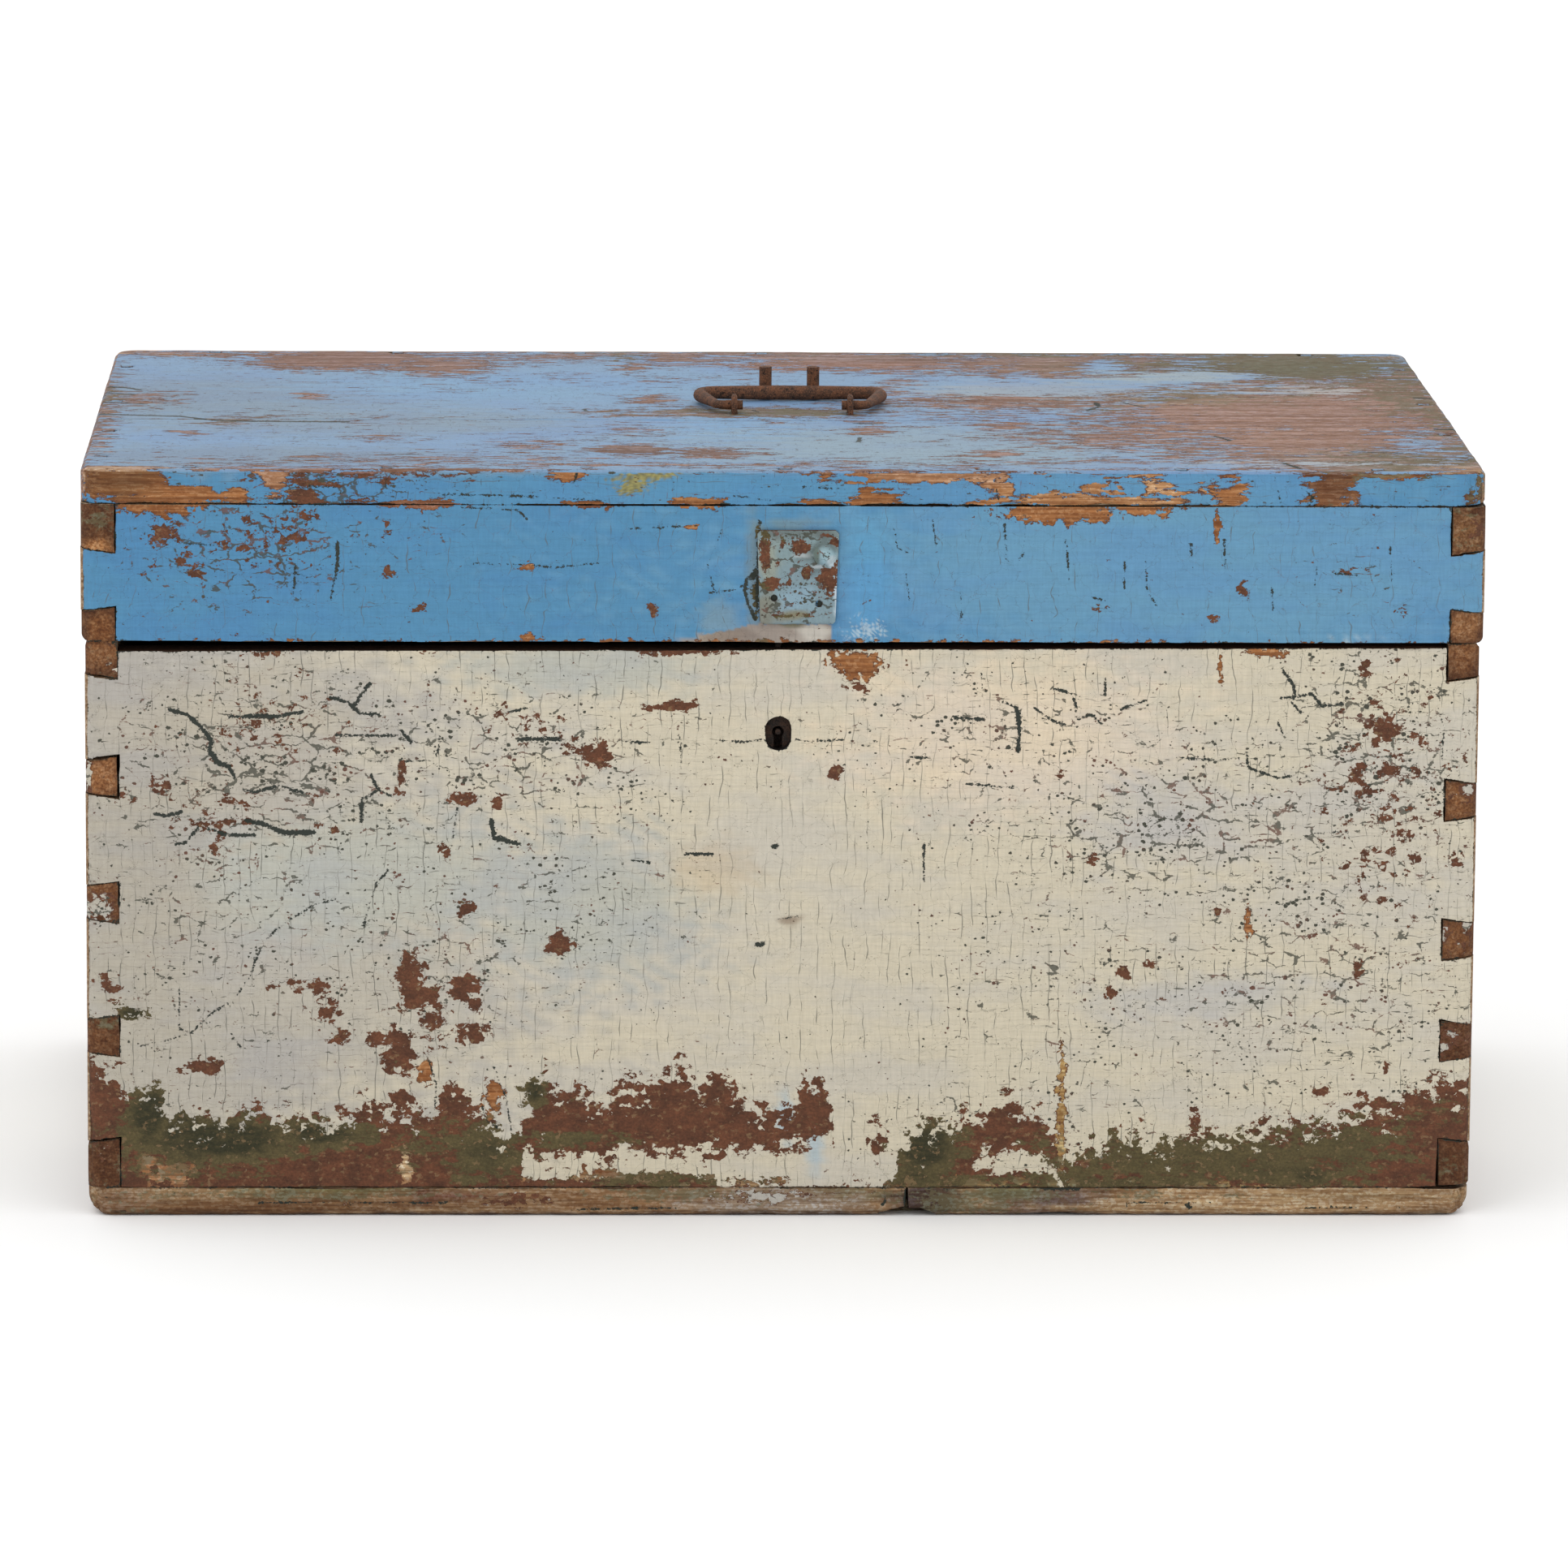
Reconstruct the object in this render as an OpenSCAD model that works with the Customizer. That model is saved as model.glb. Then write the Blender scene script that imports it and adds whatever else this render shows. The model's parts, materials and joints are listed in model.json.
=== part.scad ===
// Painted pine chest: a dovetailed box with a nailed bottom, a hinged lid made of two boards
// on a dovetailed rim, a forged bail on top and a let-in lock. Millimetres, front towards -Y.

/* [Box] */
// Width of the box across its side boards
box_w = 796; // [640:2:960]
// Depth of the box from front to back
box_d = 496; // [420:2:600]
// Height of the four boards of the box
side_h = 318.5; // [270:0.5:400]
// Thickness of the front and back boards
front_t = 20; // [18.5:0.5:24]
// Thickness of the side boards
side_t = 19; // [16:0.5:24]
// Radius of the worn upright corners of the box
box_corner_r = 6; // [2:0.5:9]
// How far the shrunken front board lies below the side boards at the left
front_drop_left = 6; // [0.5:0.5:8]
// How far the shrunken front board lies below the side boards at the right
front_drop_right = 2.5; // [0.5:0.5:8]

/* [Bottom] */
// Thickness of the bottom boards
bottom_t = 17; // [12:0.5:24]
// Width of the front bottom board
bottom_front_w = 172; // [130:1:195]
// Width of the rear bottom board
bottom_rear_w = 158; // [130:1:195]
// Gap that shrinkage has opened between the bottom boards
bottom_gap = 0.6; // [0.2:0.1:0.9]
// Radius of the four upright corners of the bottom
bottom_corner_r = 12; // [7:1:18]
// Radius of the worn lower edge all round the bottom
bottom_edge_r = 5; // [1:0.5:6]
// Distance from the middle to the broken notch in the front edge
notch_x = 73; // [40:1:90]
// Width of the broken notch
notch_w = 31; // [10:1:40]
// Height of the broken notch
notch_h = 5.5; // [2:0.5:9]
// Depth of the broken notch, from the front edge
notch_d = 14; // [5:1:18]
// Distance from the middle to the worn hollow in the front edge
hollow_x = 157; // [130:1:200]
// Width of the worn hollow
hollow_w = 46; // [20:1:60]
// Height of the worn hollow
hollow_h = 2; // [1:0.5:4]

/* [Dovetails] */
// Run of a dovetail's slope for each unit of rise
pin_slope = 7.6; // [6:0.2:9]
// Height of a pin's end grain on the box, halfway through the side board
pin_h = 22; // [14:1:28]
// Height of the half pin at the top of the box
top_pin_h = 21; // [14:1:28]
// Height of the half pin at the bottom of the box
bottom_pin_h = 28; // [16:1:34]
// Hand-cut offsets of the front left pins from even spacing, lowest first
left_pin_shifts = [-6.5, 4, 9.5]; // [-18:0.5:18]
// Hand-cut offsets of the front right pins from even spacing, lowest first
right_pin_shifts = [-9, -17, -3]; // [-18:0.5:18]
// Hand-cut offsets of the pins at the two back corners, lowest first
back_pin_shifts = [3, -2, 5]; // [-18:0.5:18]
// Height of the half pin at the top of the lid's rim
rim_top_pin_h = 27; // [16:1:30]
// Height of the half pin at the bottom of the lid's rim
rim_bottom_pin_h = 18.5; // [12:0.5:26]

/* [Lid] */
// How far the lid stands out past the box on every side
lid_overhang = 2; // [1:0.5:6]
// Height of the lid's rim boards
rim_h = 79; // [70:1:110]
// Thickness of the lid's rim boards
rim_t = 20; // [18.5:0.5:24]
// Radius of the upright corners of the rim
rim_corner_r = 8; // [2:0.5:9]
// Thickness of the lid's top boards
lid_t = 20; // [17:0.5:26]
// Width of the front one of the two top boards
lid_front_w = 200; // [180:1:215]
// Radius of the upright corners of the top boards
lid_corner_r = 14; // [6:1:20]
// Radius of the worn upper edge all round the lid
lid_edge_r = 3.5; // [1:0.5:5]
// Radius of the worn edges at the ends of the seam between box and lid
seam_edge_r = 4; // [1:0.5:6]

/* [Handle] */
// Distance from the middle of the lid to the middle of the handle
handle_x = 11; // [-40:1:40]
// Distance from the lid's mid depth forward to the bail's pivot line
pivot_setback = 19; // [10:1:24]
// Overall length of the bail across its grip
grip_len = 116.5; // [100:0.5:140]
// Diameter of the bail's grip at its middle
grip_d = 8.7; // [7:0.1:11]
// Diameter of the bail where it leaves the grip
shoulder_d = 7.8; // [6.4:0.1:9]
// Diameter of the bail's turned-in ends
bail_end_d = 5.6; // [4.4:0.1:6.2]
// Distance from the pivot line to the middle of the grip
bail_reach = 52; // [42:1:60]
// Angle at which the bail's arms lean towards each other
arm_lean = 14; // [6:1:18]
// Radius of the bend from grip to arm, at the middle of the bar
shoulder_bend = 11; // [9:0.5:14]
// Radius of the bend from arm to turned-in end, at the middle of the bar
end_bend = 6; // [4.5:0.5:8]
// Length of the straight turned-in ends
bail_end_len = 10; // [9:0.5:14]
// Diameter of the wire of the bail's staples
staple_d = 3.4; // [2.6:0.1:4]
// Length of a staple's clinched tail under the lid
clinch_len = 12; // [6:1:18]
// Distance between the two stub pins behind the grip
stub_spacing = 28.5; // [20:0.5:40]
// Diameter of the stub pins
stub_d = 7.5; // [5:0.5:9]
// Height of the stub pins above the lid
stub_h = 19; // [12:1:26]
// Depth to which the stub pins are driven into the lid
stub_depth = 14; // [8:1:16]

/* [Hasp leaf] */
// Distance from the middle of the rim to the middle of the hasp leaf
hasp_x = 7.5; // [-30:0.5:30]
// Height of the hasp leaf's lower edge above the rim's lower edge
hasp_rise = 11; // [8:0.5:14]
// Width of the hasp leaf along its upper edge
hasp_top_w = 46.5; // [42:0.5:54]
// Width of the hasp leaf along its lower edge
hasp_bottom_w = 43; // [40:0.5:50]
// Height of the hasp leaf
hasp_h = 54; // [48:1:58]
// Thickness of the hasp leaf
hasp_t = 1.8; // [1:0.1:3]
// Diameter of the empty holes in the hasp leaf
hasp_hole_d = 3.8; // [2.4:0.1:5]
// Diameter of the rivet's domed head
rivet_head_d = 14; // [10:0.5:15]
// Height of the rivet's domed head
rivet_head_h = 3.6; // [2:0.1:4.5]
// Diameter of the rivet's shank
rivet_d = 6; // [4:0.5:7]
// Diameter of the washer under the rivet's inner end
washer_d = 16; // [12:0.5:20]
// Thickness of that washer
washer_t = 1.5; // [1:0.1:2.5]

/* [Lock] */
// Distance from the middle of the front to the keyhole
keyhole_x = -3; // [-40:0.5:40]
// Distance from the seam between box and lid down to the keyhole's middle
keyhole_drop = 53.1; // [50:0.1:90]
// Width of the worn keyhole
keyhole_w = 14.4; // [12:0.1:16]
// Height of the worn keyhole
keyhole_h = 19; // [17:0.5:22]
// Width of the lock case
lock_w = 84; // [76:1:110]
// Distance from the keyhole's middle down to the bottom of the lock case
lock_foot = 17; // [14:1:24]
// Depth of the lock, from the inner face of the front board
lock_depth = 13.5; // [13.5:0.5:15]
// Thickness of the lock's back plate
plate_t = 2; // [1.5:0.1:2.1]
// Margin by which the back plate laps the wood beside the case
plate_lap = 14; // [10:1:18]
// Thickness of the case's wall behind the front board
case_wall = 2; // [1.5:0.1:2.1]
// Height of the lock bolt's bar
bolt_h = 7; // [5:0.5:9]
// Length of the lock bolt's bar
bolt_len = 30; // [26:1:31]
// Thickness of the bolt's nose
nose_t = 3; // [2:0.1:3.2]
// How far the bolt is thrown
bolt_throw = 10; // [8:0.5:11]
// Depth of the bolt's middle below the seam between box and lid
bolt_drop = 15.5; // [15:0.5:18]
// Thickness of the catch's lug
lug_t = 3; // [2:0.1:3.5]
// Width of the catch's lug
lug_w = 7.8; // [7:0.1:8]
// Length of the catch's plate along the rim
catch_len = 64; // [50:1:80]
// Width of the catch's plate
catch_w = 14; // [12:0.5:16]
// Thickness of the catch's plate
catch_t = 2; // [1.5:0.1:3]

/* [Hinges] */
// Distance from the end of the box to the middle of each hinge
hinge_inset = 148; // [60:2:220]
// Length of a hinge along the seam
leaf_len = 70; // [50:5:90]
// Reach of a hinge leaf into the edge of the wood
leaf_d = 16; // [14:0.5:17]
// Thickness of a hinge leaf
leaf_t = 2; // [1.4:0.1:2.6]
// Outer diameter of the knuckles
barrel_d = 9; // [8:0.5:12]
// Diameter of the hinge pins
hinge_pin_d = 4; // [3:0.5:5]

/* [Nails and screws] */
// Thickness of a cut nail's square shank
nail_w = 2.6; // [2:0.1:3.4]
// Length of a cut nail
nail_len = 45; // [38:1:55]
// Width of a nail's head
nail_head_w = 6.4; // [5:0.2:8]
// Thickness of a nail's head
nail_head_t = 1.6; // [1:0.1:2.2]
// Number of nails along each long edge
long_nails = 7; // [5:1:9]
// Distance from the end of the box to the first nail of a long row
nail_inset = 60; // [40:1:90]
// Diameter of a screw's shank
screw_d = 3.4; // [2.6:0.1:4]
// Diameter of a screw's head
screw_head_d = 6.8; // [5.6:0.1:7.6]
// Length of a hinge or catch screw
screw_len = 16; // [10:1:22]
// Length of a lock screw
lock_screw_len = 12; // [8:1:15]

/* [Hidden] */
$fn = 64;

// Clearance of a piece in its recess or hole, of a moving piece, and past a cut's faces
fit_gap = 0.05;
running_gap = 0.3;
cut_past = 1;

// Levels above the floor and the outer size of the lid
seam_z = bottom_t + side_h;
rim_top_z = seam_z + rim_h;
lid_top_z = rim_top_z + lid_t;
lid_w = box_w + 2 * lid_overhang;
lid_d = box_d + 2 * lid_overhang;
inner_y = -box_d / 2 + front_t;

// Colours of the paint layers, bare wood and iron
cream = [0.80, 0.78, 0.70];
blue = [0.28, 0.52, 0.74];
faded_blue = [0.48, 0.60, 0.70];
pine = [0.55, 0.42, 0.28];
rust = [0.33, 0.20, 0.14];
painted_iron = [0.38, 0.52, 0.58];

// Height of the front board's sloping top edge at a given place along the front
function front_top(x) =
    seam_z - front_drop_left - (front_drop_right - front_drop_left) * (x / box_w + 0.5);

// Even places from one end of a length to the other, about its middle
function spread(count, length) =
    [for (k = [0 : count - 1]) -length / 2 + length * k / (count - 1)];

// End grain of the pins at one corner: outer face at 0, baseline at t, drawn from 0 up to h.
// A cutter is drawn past the faces by the given amount.
module pin_outline(t, h, top_h, bottom_h, shifts, past = 0) {
    pitch = (h - top_h - bottom_h) / (len(shifts) + 1);
    out_flare = (past + t / 2) / pin_slope;
    in_flare = t / 2 / pin_slope;
    polygon([
        [-past, -past], [t, -past], [t, bottom_h + in_flare], [-past, bottom_h - out_flare]
    ]);
    polygon([
        [-past, h + past], [t, h + past], [t, h - top_h - in_flare],
        [-past, h - top_h + out_flare]
    ]);
    for (k = [0 : 1 : len(shifts) - 1])
        translate([0, bottom_h + pitch * (k + 1) + shifts[k]])
            polygon([
                [-past, out_flare - pin_h / 2], [t, -in_flare - pin_h / 2],
                [t, in_flare + pin_h / 2], [-past, pin_h / 2 - out_flare]
            ]);
}

module box_pins(shifts, past = 0)
    pin_outline(side_t, side_h, top_pin_h, bottom_pin_h, shifts, past);

module rim_pins(past = 0)
    pin_outline(rim_t, rim_h, rim_top_pin_h, rim_bottom_pin_h, [], past);

// Sets a drawing in X and Z upright, reaching back from y by the given length
module upright(y, length)
    translate([0, y + length, 0])
        rotate([90, 0, 0])
            linear_extrude(length)
                children();

// Rounds off the four upright corners of a block of this width and depth
module corner_cutters(w, d, r, z, h)
    for (mx = [0, 1], my = [0, 1])
        mirror([mx, 0, 0])
            mirror([0, my, 0])
                translate([w / 2 - r, d / 2 - r, z - cut_past])
                    linear_extrude(h + 2 * cut_past)
                        difference() {
                            square(r + cut_past);
                            circle(r);
                        }

// Rounds off an edge along Y at the origin, between faces that look towards +X and +Z
module edge_cutter(length, r)
    translate([-r, length / 2, -r])
        rotate([90, 0, 0])
            linear_extrude(length)
                difference() {
                    square(r + cut_past);
                    circle(r);
                }

// Rounds off the upper edge all round a block whose top is at z, with its upright corners
module rim_cutters(w, d, corner_r, r, z) {
    for (m = [0, 1])
        mirror([m, 0, 0])
            translate([w / 2, 0, z])
                edge_cutter(d + 2 * cut_past, r);
    for (m = [0, 1])
        mirror([0, m, 0])
            translate([0, d / 2, z])
                rotate([0, 0, 90])
                    edge_cutter(w + 2 * cut_past, r);
    for (mx = [0, 1], my = [0, 1])
        mirror([mx, 0, 0])
            mirror([0, my, 0])
                translate([w / 2 - corner_r, d / 2 - corner_r, z - r])
                    rotate_extrude(angle = 90)
                        translate([corner_r - r, 0])
                            difference() {
                                square(r + cut_past);
                                circle(r);
                            }
}

// Cut nail with a flat head, its head's face at 0 and its point downwards
module nail(grow = 0) {
    head = nail_head_w + 2 * grow;
    shank = nail_w + 2 * grow;
    above = grow > 0 ? cut_past : 0;
    translate([-head / 2, -head / 2, -nail_head_t - grow])
        cube([head, head, nail_head_t + grow + above]);
    translate([-shank / 2, -shank / 2, -nail_len - grow])
        cube([shank, shank, nail_len - nail_head_t + grow]);
}

// Countersunk slotted screw, its head's face at 0 and its point downwards
module screw(length, grow = 0) {
    head_h = (screw_head_d - screw_d) / 2;
    slot_w = screw_d / 4;
    difference() {
        union() {
            translate([0, 0, -head_h])
                cylinder(h = head_h, d1 = screw_d + 2 * grow, d2 = screw_head_d + 2 * grow);
            translate([0, 0, -length - grow])
                cylinder(h = length + grow - head_h, d = screw_d + 2 * grow);
            if (grow > 0)
                cylinder(h = cut_past, d = screw_head_d + 2 * grow);
        }
        if (grow == 0)
            translate([-screw_head_d, -slot_w / 2, -slot_w])
                cube([2 * screw_head_d, slot_w, slot_w + cut_past]);
    }
}

// Places of the nails, seen in plan
long_row = spread(long_nails, box_w - 2 * nail_inset);
bottom_splits = [-box_d / 2, bottom_front_w - box_d / 2, box_d / 2 - bottom_rear_w, box_d / 2];
lid_splits = [-lid_d / 2, lid_front_w - lid_d / 2, lid_d / 2];

// Two nails across each board, a quarter of its width in from its edges
function across(splits) = [
    for (k = [0 : len(splits) - 2], q = [1, 3])
        splits[k] + (splits[k + 1] - splits[k]) * q / 4
];

module bottom_nail_places() {
    for (x = long_row, s = [-1, 1])
        translate([x, s * (box_d - front_t) / 2, 0])
            mirror([0, 0, 1])
                children();
    for (y = across(bottom_splits), s = [-1, 1])
        translate([s * (box_w - side_t) / 2, y, 0])
            mirror([0, 0, 1])
                children();
}

module lid_nail_places() {
    for (x = long_row, s = [-1, 1])
        translate([x, s * (lid_d - rim_t) / 2, lid_top_z])
            children();
    for (y = across(lid_splits), s = [-1, 1])
        translate([s * (lid_w - rim_t) / 2, y, lid_top_z])
            children();
}

// Hinges: the pin's line lies at the height of the seam, just behind the lid
knuckles = 5;
knuckle_gap = 0.2;
knuckle_pitch = leaf_len / knuckles;
barrel_gap = 0.5;
hinge_y = lid_d / 2 + barrel_gap + barrel_d / 2;
leaf_gap = 0.2;
leaf_screw_inset = 10;
leaf_screw_shift = 2;

module hinge_places(side)
    translate([side * (box_w / 2 - hinge_inset), 0, seam_z])
        children();

// One leaf with its knuckles, laid along the back edge at back_y. Up is 1 on the lid, -1 on the box.
module hinge_leaf(back_y, up, first, bore_gap) {
    low = up > 0 ? leaf_gap / 2 : -leaf_gap / 2 - leaf_t;
    difference() {
        union() {
            translate([-leaf_len / 2, back_y - leaf_d, low])
                cube([leaf_len, leaf_d, leaf_t]);
            for (k = [first : 2 : knuckles - 1])
                translate([-leaf_len / 2 + k * knuckle_pitch + knuckle_gap / 2, 0, 0]) {
                    translate([0, back_y - cut_past, low])
                        cube([knuckle_pitch - knuckle_gap, hinge_y - back_y + cut_past, leaf_t]);
                    translate([0, hinge_y, 0])
                        rotate([0, 90, 0])
                            cylinder(h = knuckle_pitch - knuckle_gap, d = barrel_d);
                }
        }
        translate([-leaf_len, hinge_y, 0])
            rotate([0, 90, 0])
                cylinder(h = 2 * leaf_len, d = hinge_pin_d + 2 * bore_gap);
        leaf_screw_places(back_y, up)
            screw(screw_len, fit_gap);
    }
}

// Three screws a leaf, set zigzag, with their heads towards the seam
module leaf_screw_places(back_y, up)
    for (k = [-1, 0, 1])
        translate([
            k * (leaf_len / 2 - leaf_screw_inset),
            back_y - leaf_d / 2 + (k == 0 ? -leaf_screw_shift : leaf_screw_shift),
            up * leaf_gap / 2
        ])
            mirror([0, 0, up > 0 ? 1 : 0])
                children();

// Recess that takes one leaf, open to the seam and to the back
module leaf_recess(back_y, up)
    translate([
        -leaf_len / 2 - fit_gap, back_y - leaf_d - fit_gap,
        up > 0 ? -cut_past : -leaf_gap / 2 - leaf_t - fit_gap
    ])
        cube([
            leaf_len + 2 * fit_gap, leaf_d + fit_gap + cut_past,
            leaf_t + leaf_gap / 2 + fit_gap + cut_past
        ]);

module hinge_pin() {
    head_h = 1.5;
    translate([-leaf_len / 2 + knuckle_gap / 2 - head_h, hinge_y, 0])
        rotate([0, 90, 0]) {
            cylinder(h = head_h, d = hinge_pin_d + 2);
            cylinder(h = leaf_len + 2 * head_h - knuckle_gap, d = hinge_pin_d);
        }
}

// Lock: everything is placed from the keyhole, the seam and the board's inner face
key_z = seam_z - keyhole_drop;
bolt_z = seam_z - bolt_drop;
case_top_z = min(front_top(keyhole_x - lock_w / 2), front_top(keyhole_x + lock_w / 2));
case_bottom_z = key_z - lock_foot;
case_front_y = inner_y - lock_depth;
cavity_y = case_front_y + case_wall;
cavity_d = lock_depth - case_wall - plate_t;
cavity_mid_y = cavity_y + cavity_d / 2;
nose_gap = 0.7;
nose_x = keyhole_x + lug_t / 2 + nose_gap;
nose_len = bolt_throw + 2;
tail_w = 16;
tail_x = nose_x + nose_len + 1;
tail_rise = 10;
tail_bottom_z = key_z + tail_rise;
key_room_r = 10.5;
key_pin_d = 3.2;
key_bore_d = 6.8;
key_slot_w = 4.8;
lock_screw_inset = 10;
eye_gap = 0.8;
eye_h = bolt_h + 2 * eye_gap;
eye_w = nose_t + 2 * eye_gap;
lug_foot = 2.6;
lug_bottom_z = bolt_z - eye_h / 2 - lug_foot;

// Side view of the bolt's tail and bar; a cavity is drawn with its travel and its clearance
module bolt_outline(travel = 0, gap = 0) {
    translate([nose_x - travel - gap, bolt_z - bolt_h / 2 - gap])
        square([bolt_len + travel + 2 * gap, bolt_h + 2 * gap]);
    translate([tail_x - travel - gap, tail_bottom_z - gap])
        square([tail_w + travel + 2 * gap, bolt_z - tail_bottom_z + gap]);
}

module case_block(gap = 0)
    translate([keyhole_x - lock_w / 2 - gap, case_front_y - gap, case_bottom_z - gap])
        cube([lock_w + 2 * gap, lock_depth - plate_t + 2 * gap, case_top_z - case_bottom_z + gap]);

module back_plate_block(gap = 0)
    translate([keyhole_x - lock_w / 2 - plate_lap - gap, inner_y - plate_t - gap, case_bottom_z - gap])
        cube([lock_w + 2 * (plate_lap + gap), plate_t + gap, case_top_z - case_bottom_z + gap]);

module lock_screw_places()
    for (sx = [-1, 1], z = [case_bottom_z + lock_screw_inset, case_top_z - lock_screw_inset])
        translate([keyhole_x + sx * (lock_w + plate_lap) / 2, inner_y, z])
            rotate([-90, 0, 0])
                children();

// Catch plate under the rim, and its two screws
catch_y = cavity_mid_y;
catch_screw_inset = 9;

module catch_block(gap = 0)
    translate([keyhole_x - catch_len / 2 - gap, catch_y - catch_w / 2 - gap, seam_z])
        cube([catch_len + 2 * gap, catch_w + 2 * gap, catch_t + gap]);

module catch_screw_places()
    for (sx = [-1, 1])
        translate([keyhole_x + sx * (catch_len / 2 - catch_screw_inset), catch_y, seam_z])
            mirror([0, 0, 1])
                children();

// Handle: heights and places of the bail, its staples and the stub pins
pivot_y = -pivot_setback;
pivot_z = lid_top_z + grip_d / 2 + running_gap;
bail_straight = grip_len / 2 - grip_d / 2 - shoulder_bend;
arm_len = (bail_reach - shoulder_bend * (1 + sin(arm_lean)) - end_bend * (1 - sin(arm_lean)))
    / cos(arm_lean);
end_start = bail_straight + shoulder_bend * cos(arm_lean) - arm_len * sin(arm_lean)
    - end_bend * cos(arm_lean);
staple_x = end_start - bail_end_len / 2;
arch_r = bail_end_d / 2 + running_gap + staple_d / 2;
clinch_bend = staple_d / 2 + 0.5;
clinch_z = rim_top_z - staple_d / 2 - 0.25;
stub_y = pivot_y + bail_reach + grip_d / 2 + running_gap + 1 + stub_d / 2;

// Middle line of half the bail as [x, y, diameter], from the middle of the grip to the turned-in end
function bend(x, y, r, from, to, steps, d0, d1) = [
    for (k = [1 : steps])
        let (a = from + (to - from) * k / steps)
            [x + r * cos(a), y + r * sin(a), d0 + (d1 - d0) * k / steps]
];
neck_d = bail_end_d - 0.4;
arm_top = [
    bail_straight + shoulder_bend * cos(arm_lean),
    bail_reach - shoulder_bend * (1 + sin(arm_lean))
];
half_line = concat(
    [for (k = [0 : 5]) [
        bail_straight * k / 5, bail_reach, grip_d + (shoulder_d - grip_d) * pow(k / 5, 2)
    ]],
    bend(
        bail_straight, bail_reach - shoulder_bend, shoulder_bend,
        90, -arm_lean, 9, shoulder_d, shoulder_d
    ),
    [for (k = [1 : 5]) [
        arm_top[0] - arm_len * sin(arm_lean) * k / 5, arm_top[1] - arm_len * cos(arm_lean) * k / 5,
        shoulder_d + (neck_d - shoulder_d) * k / 5
    ]],
    bend(end_start, end_bend, end_bend, -arm_lean, -90, 6, neck_d, neck_d),
    [[end_start - 2, 0, neck_d]]
);
bail_line = concat(
    [for (k = [len(half_line) - 1 : -1 : 1]) [-half_line[k][0], half_line[k][1], half_line[k][2]]],
    half_line
);

// Round bar along a line that lies in X and Y, with a diameter for each of its points
module swept_bar(line, sides) {
    last = len(line) - 1;
    ways = [
        for (k = [0 : last])
            let (a = line[max(k - 1, 0)], b = line[min(k + 1, last)], d = [b[0] - a[0], b[1] - a[1]])
                d / norm(d)
    ];
    polyhedron(
        points = [
            for (k = [0 : last], j = [0 : sides - 1])
                let (r = line[k][2] / 2, a = 360 * j / sides)
                    [
                        line[k][0] - ways[k][1] * r * cos(a), line[k][1] + ways[k][0] * r * cos(a),
                        r * sin(a)
                    ]
        ],
        faces = concat(
            [for (k = [0 : last - 1], j = [0 : sides - 1], half = [0, 1])
                let (i = (j + 1) % sides, a = k * sides, b = a + sides)
                    half == 0 ? [a + j, b + i, a + i] : [a + j, b + j, b + i]],
            [for (j = [1 : sides - 2]) [0, j, j + 1]],
            [for (j = [1 : sides - 2]) [last * sides, last * sides + j + 1, last * sides + j]]
        )
    );
}

// Staple over a turned-in end: an arch, two legs through the lid and tails clinched outwards
module bail_staple(side) {
    translate([handle_x + side * staple_x, pivot_y, 0]) {
        translate([0, 0, pivot_z])
            rotate([90, 0, 90])
                rotate_extrude(angle = 180)
                    translate([arch_r, 0])
                        circle(d = staple_d);
        for (my = [0, 1])
            mirror([0, my, 0]) {
                translate([0, arch_r, clinch_z + clinch_bend])
                    cylinder(h = pivot_z - clinch_z - clinch_bend, d = staple_d);
                translate([0, arch_r + clinch_bend, clinch_z + clinch_bend])
                    rotate([90, 0, 90])
                        rotate([0, 0, 180])
                            rotate_extrude(angle = 90)
                                translate([clinch_bend, 0])
                                    circle(d = staple_d);
                translate([0, arch_r + clinch_bend, clinch_z])
                    rotate([-90, 0, 0])
                        cylinder(h = clinch_len, d1 = staple_d, d2 = staple_d / 2);
            }
    }
}

module staple_leg_holes()
    for (side = [-1, 1], sy = [-1, 1])
        translate([handle_x + side * staple_x, pivot_y + sy * arch_r, rim_top_z - cut_past])
            cylinder(h = lid_t + 2 * cut_past, d = staple_d + 2 * fit_gap);

module stub_pin(side, grow = 0)
    translate([handle_x + side * stub_spacing / 2, stub_y, lid_top_z - stub_depth - grow])
        cylinder(h = stub_depth + stub_h + grow, d = stub_d + 2 * grow);

// Hasp leaf: the places of its holes, measured from its own middle and lower edge
hasp_y = -lid_d / 2;
hasp_z = seam_z + hasp_rise;
rivet_at = [14.5, 40.5];
hasp_holes = [[-13.5, 15], [12, 11.7]];

module rivet_axis()
    translate([hasp_x + rivet_at[0], hasp_y, hasp_z + rivet_at[1]])
        rotate([-90, 0, 0])
            children();

// Box
module side_board(front_shifts) {
    difference() {
        union() {
            translate([-box_w / 2, inner_y, bottom_t])
                cube([side_t, box_d - 2 * front_t, side_h]);
            translate([-box_w / 2, 0, bottom_t]) {
                upright(-box_d / 2, front_t + cut_past)
                    box_pins(front_shifts);
                upright(-inner_y - cut_past, front_t + cut_past)
                    box_pins(back_pin_shifts);
            }
        }
        corner_cutters(box_w, box_d, box_corner_r, bottom_t, side_h);
        translate([-box_w / 2, 0, seam_z])
            mirror([1, 0, 0])
                edge_cutter(box_d + 2 * cut_past, seam_edge_r);
        bottom_nail_places()
            nail(fit_gap);
    }
}

module left_side_board()
    color(cream)
        side_board(left_pin_shifts);

module right_side_board()
    color(cream)
        mirror([1, 0, 0])
            side_board(right_pin_shifts);

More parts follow.
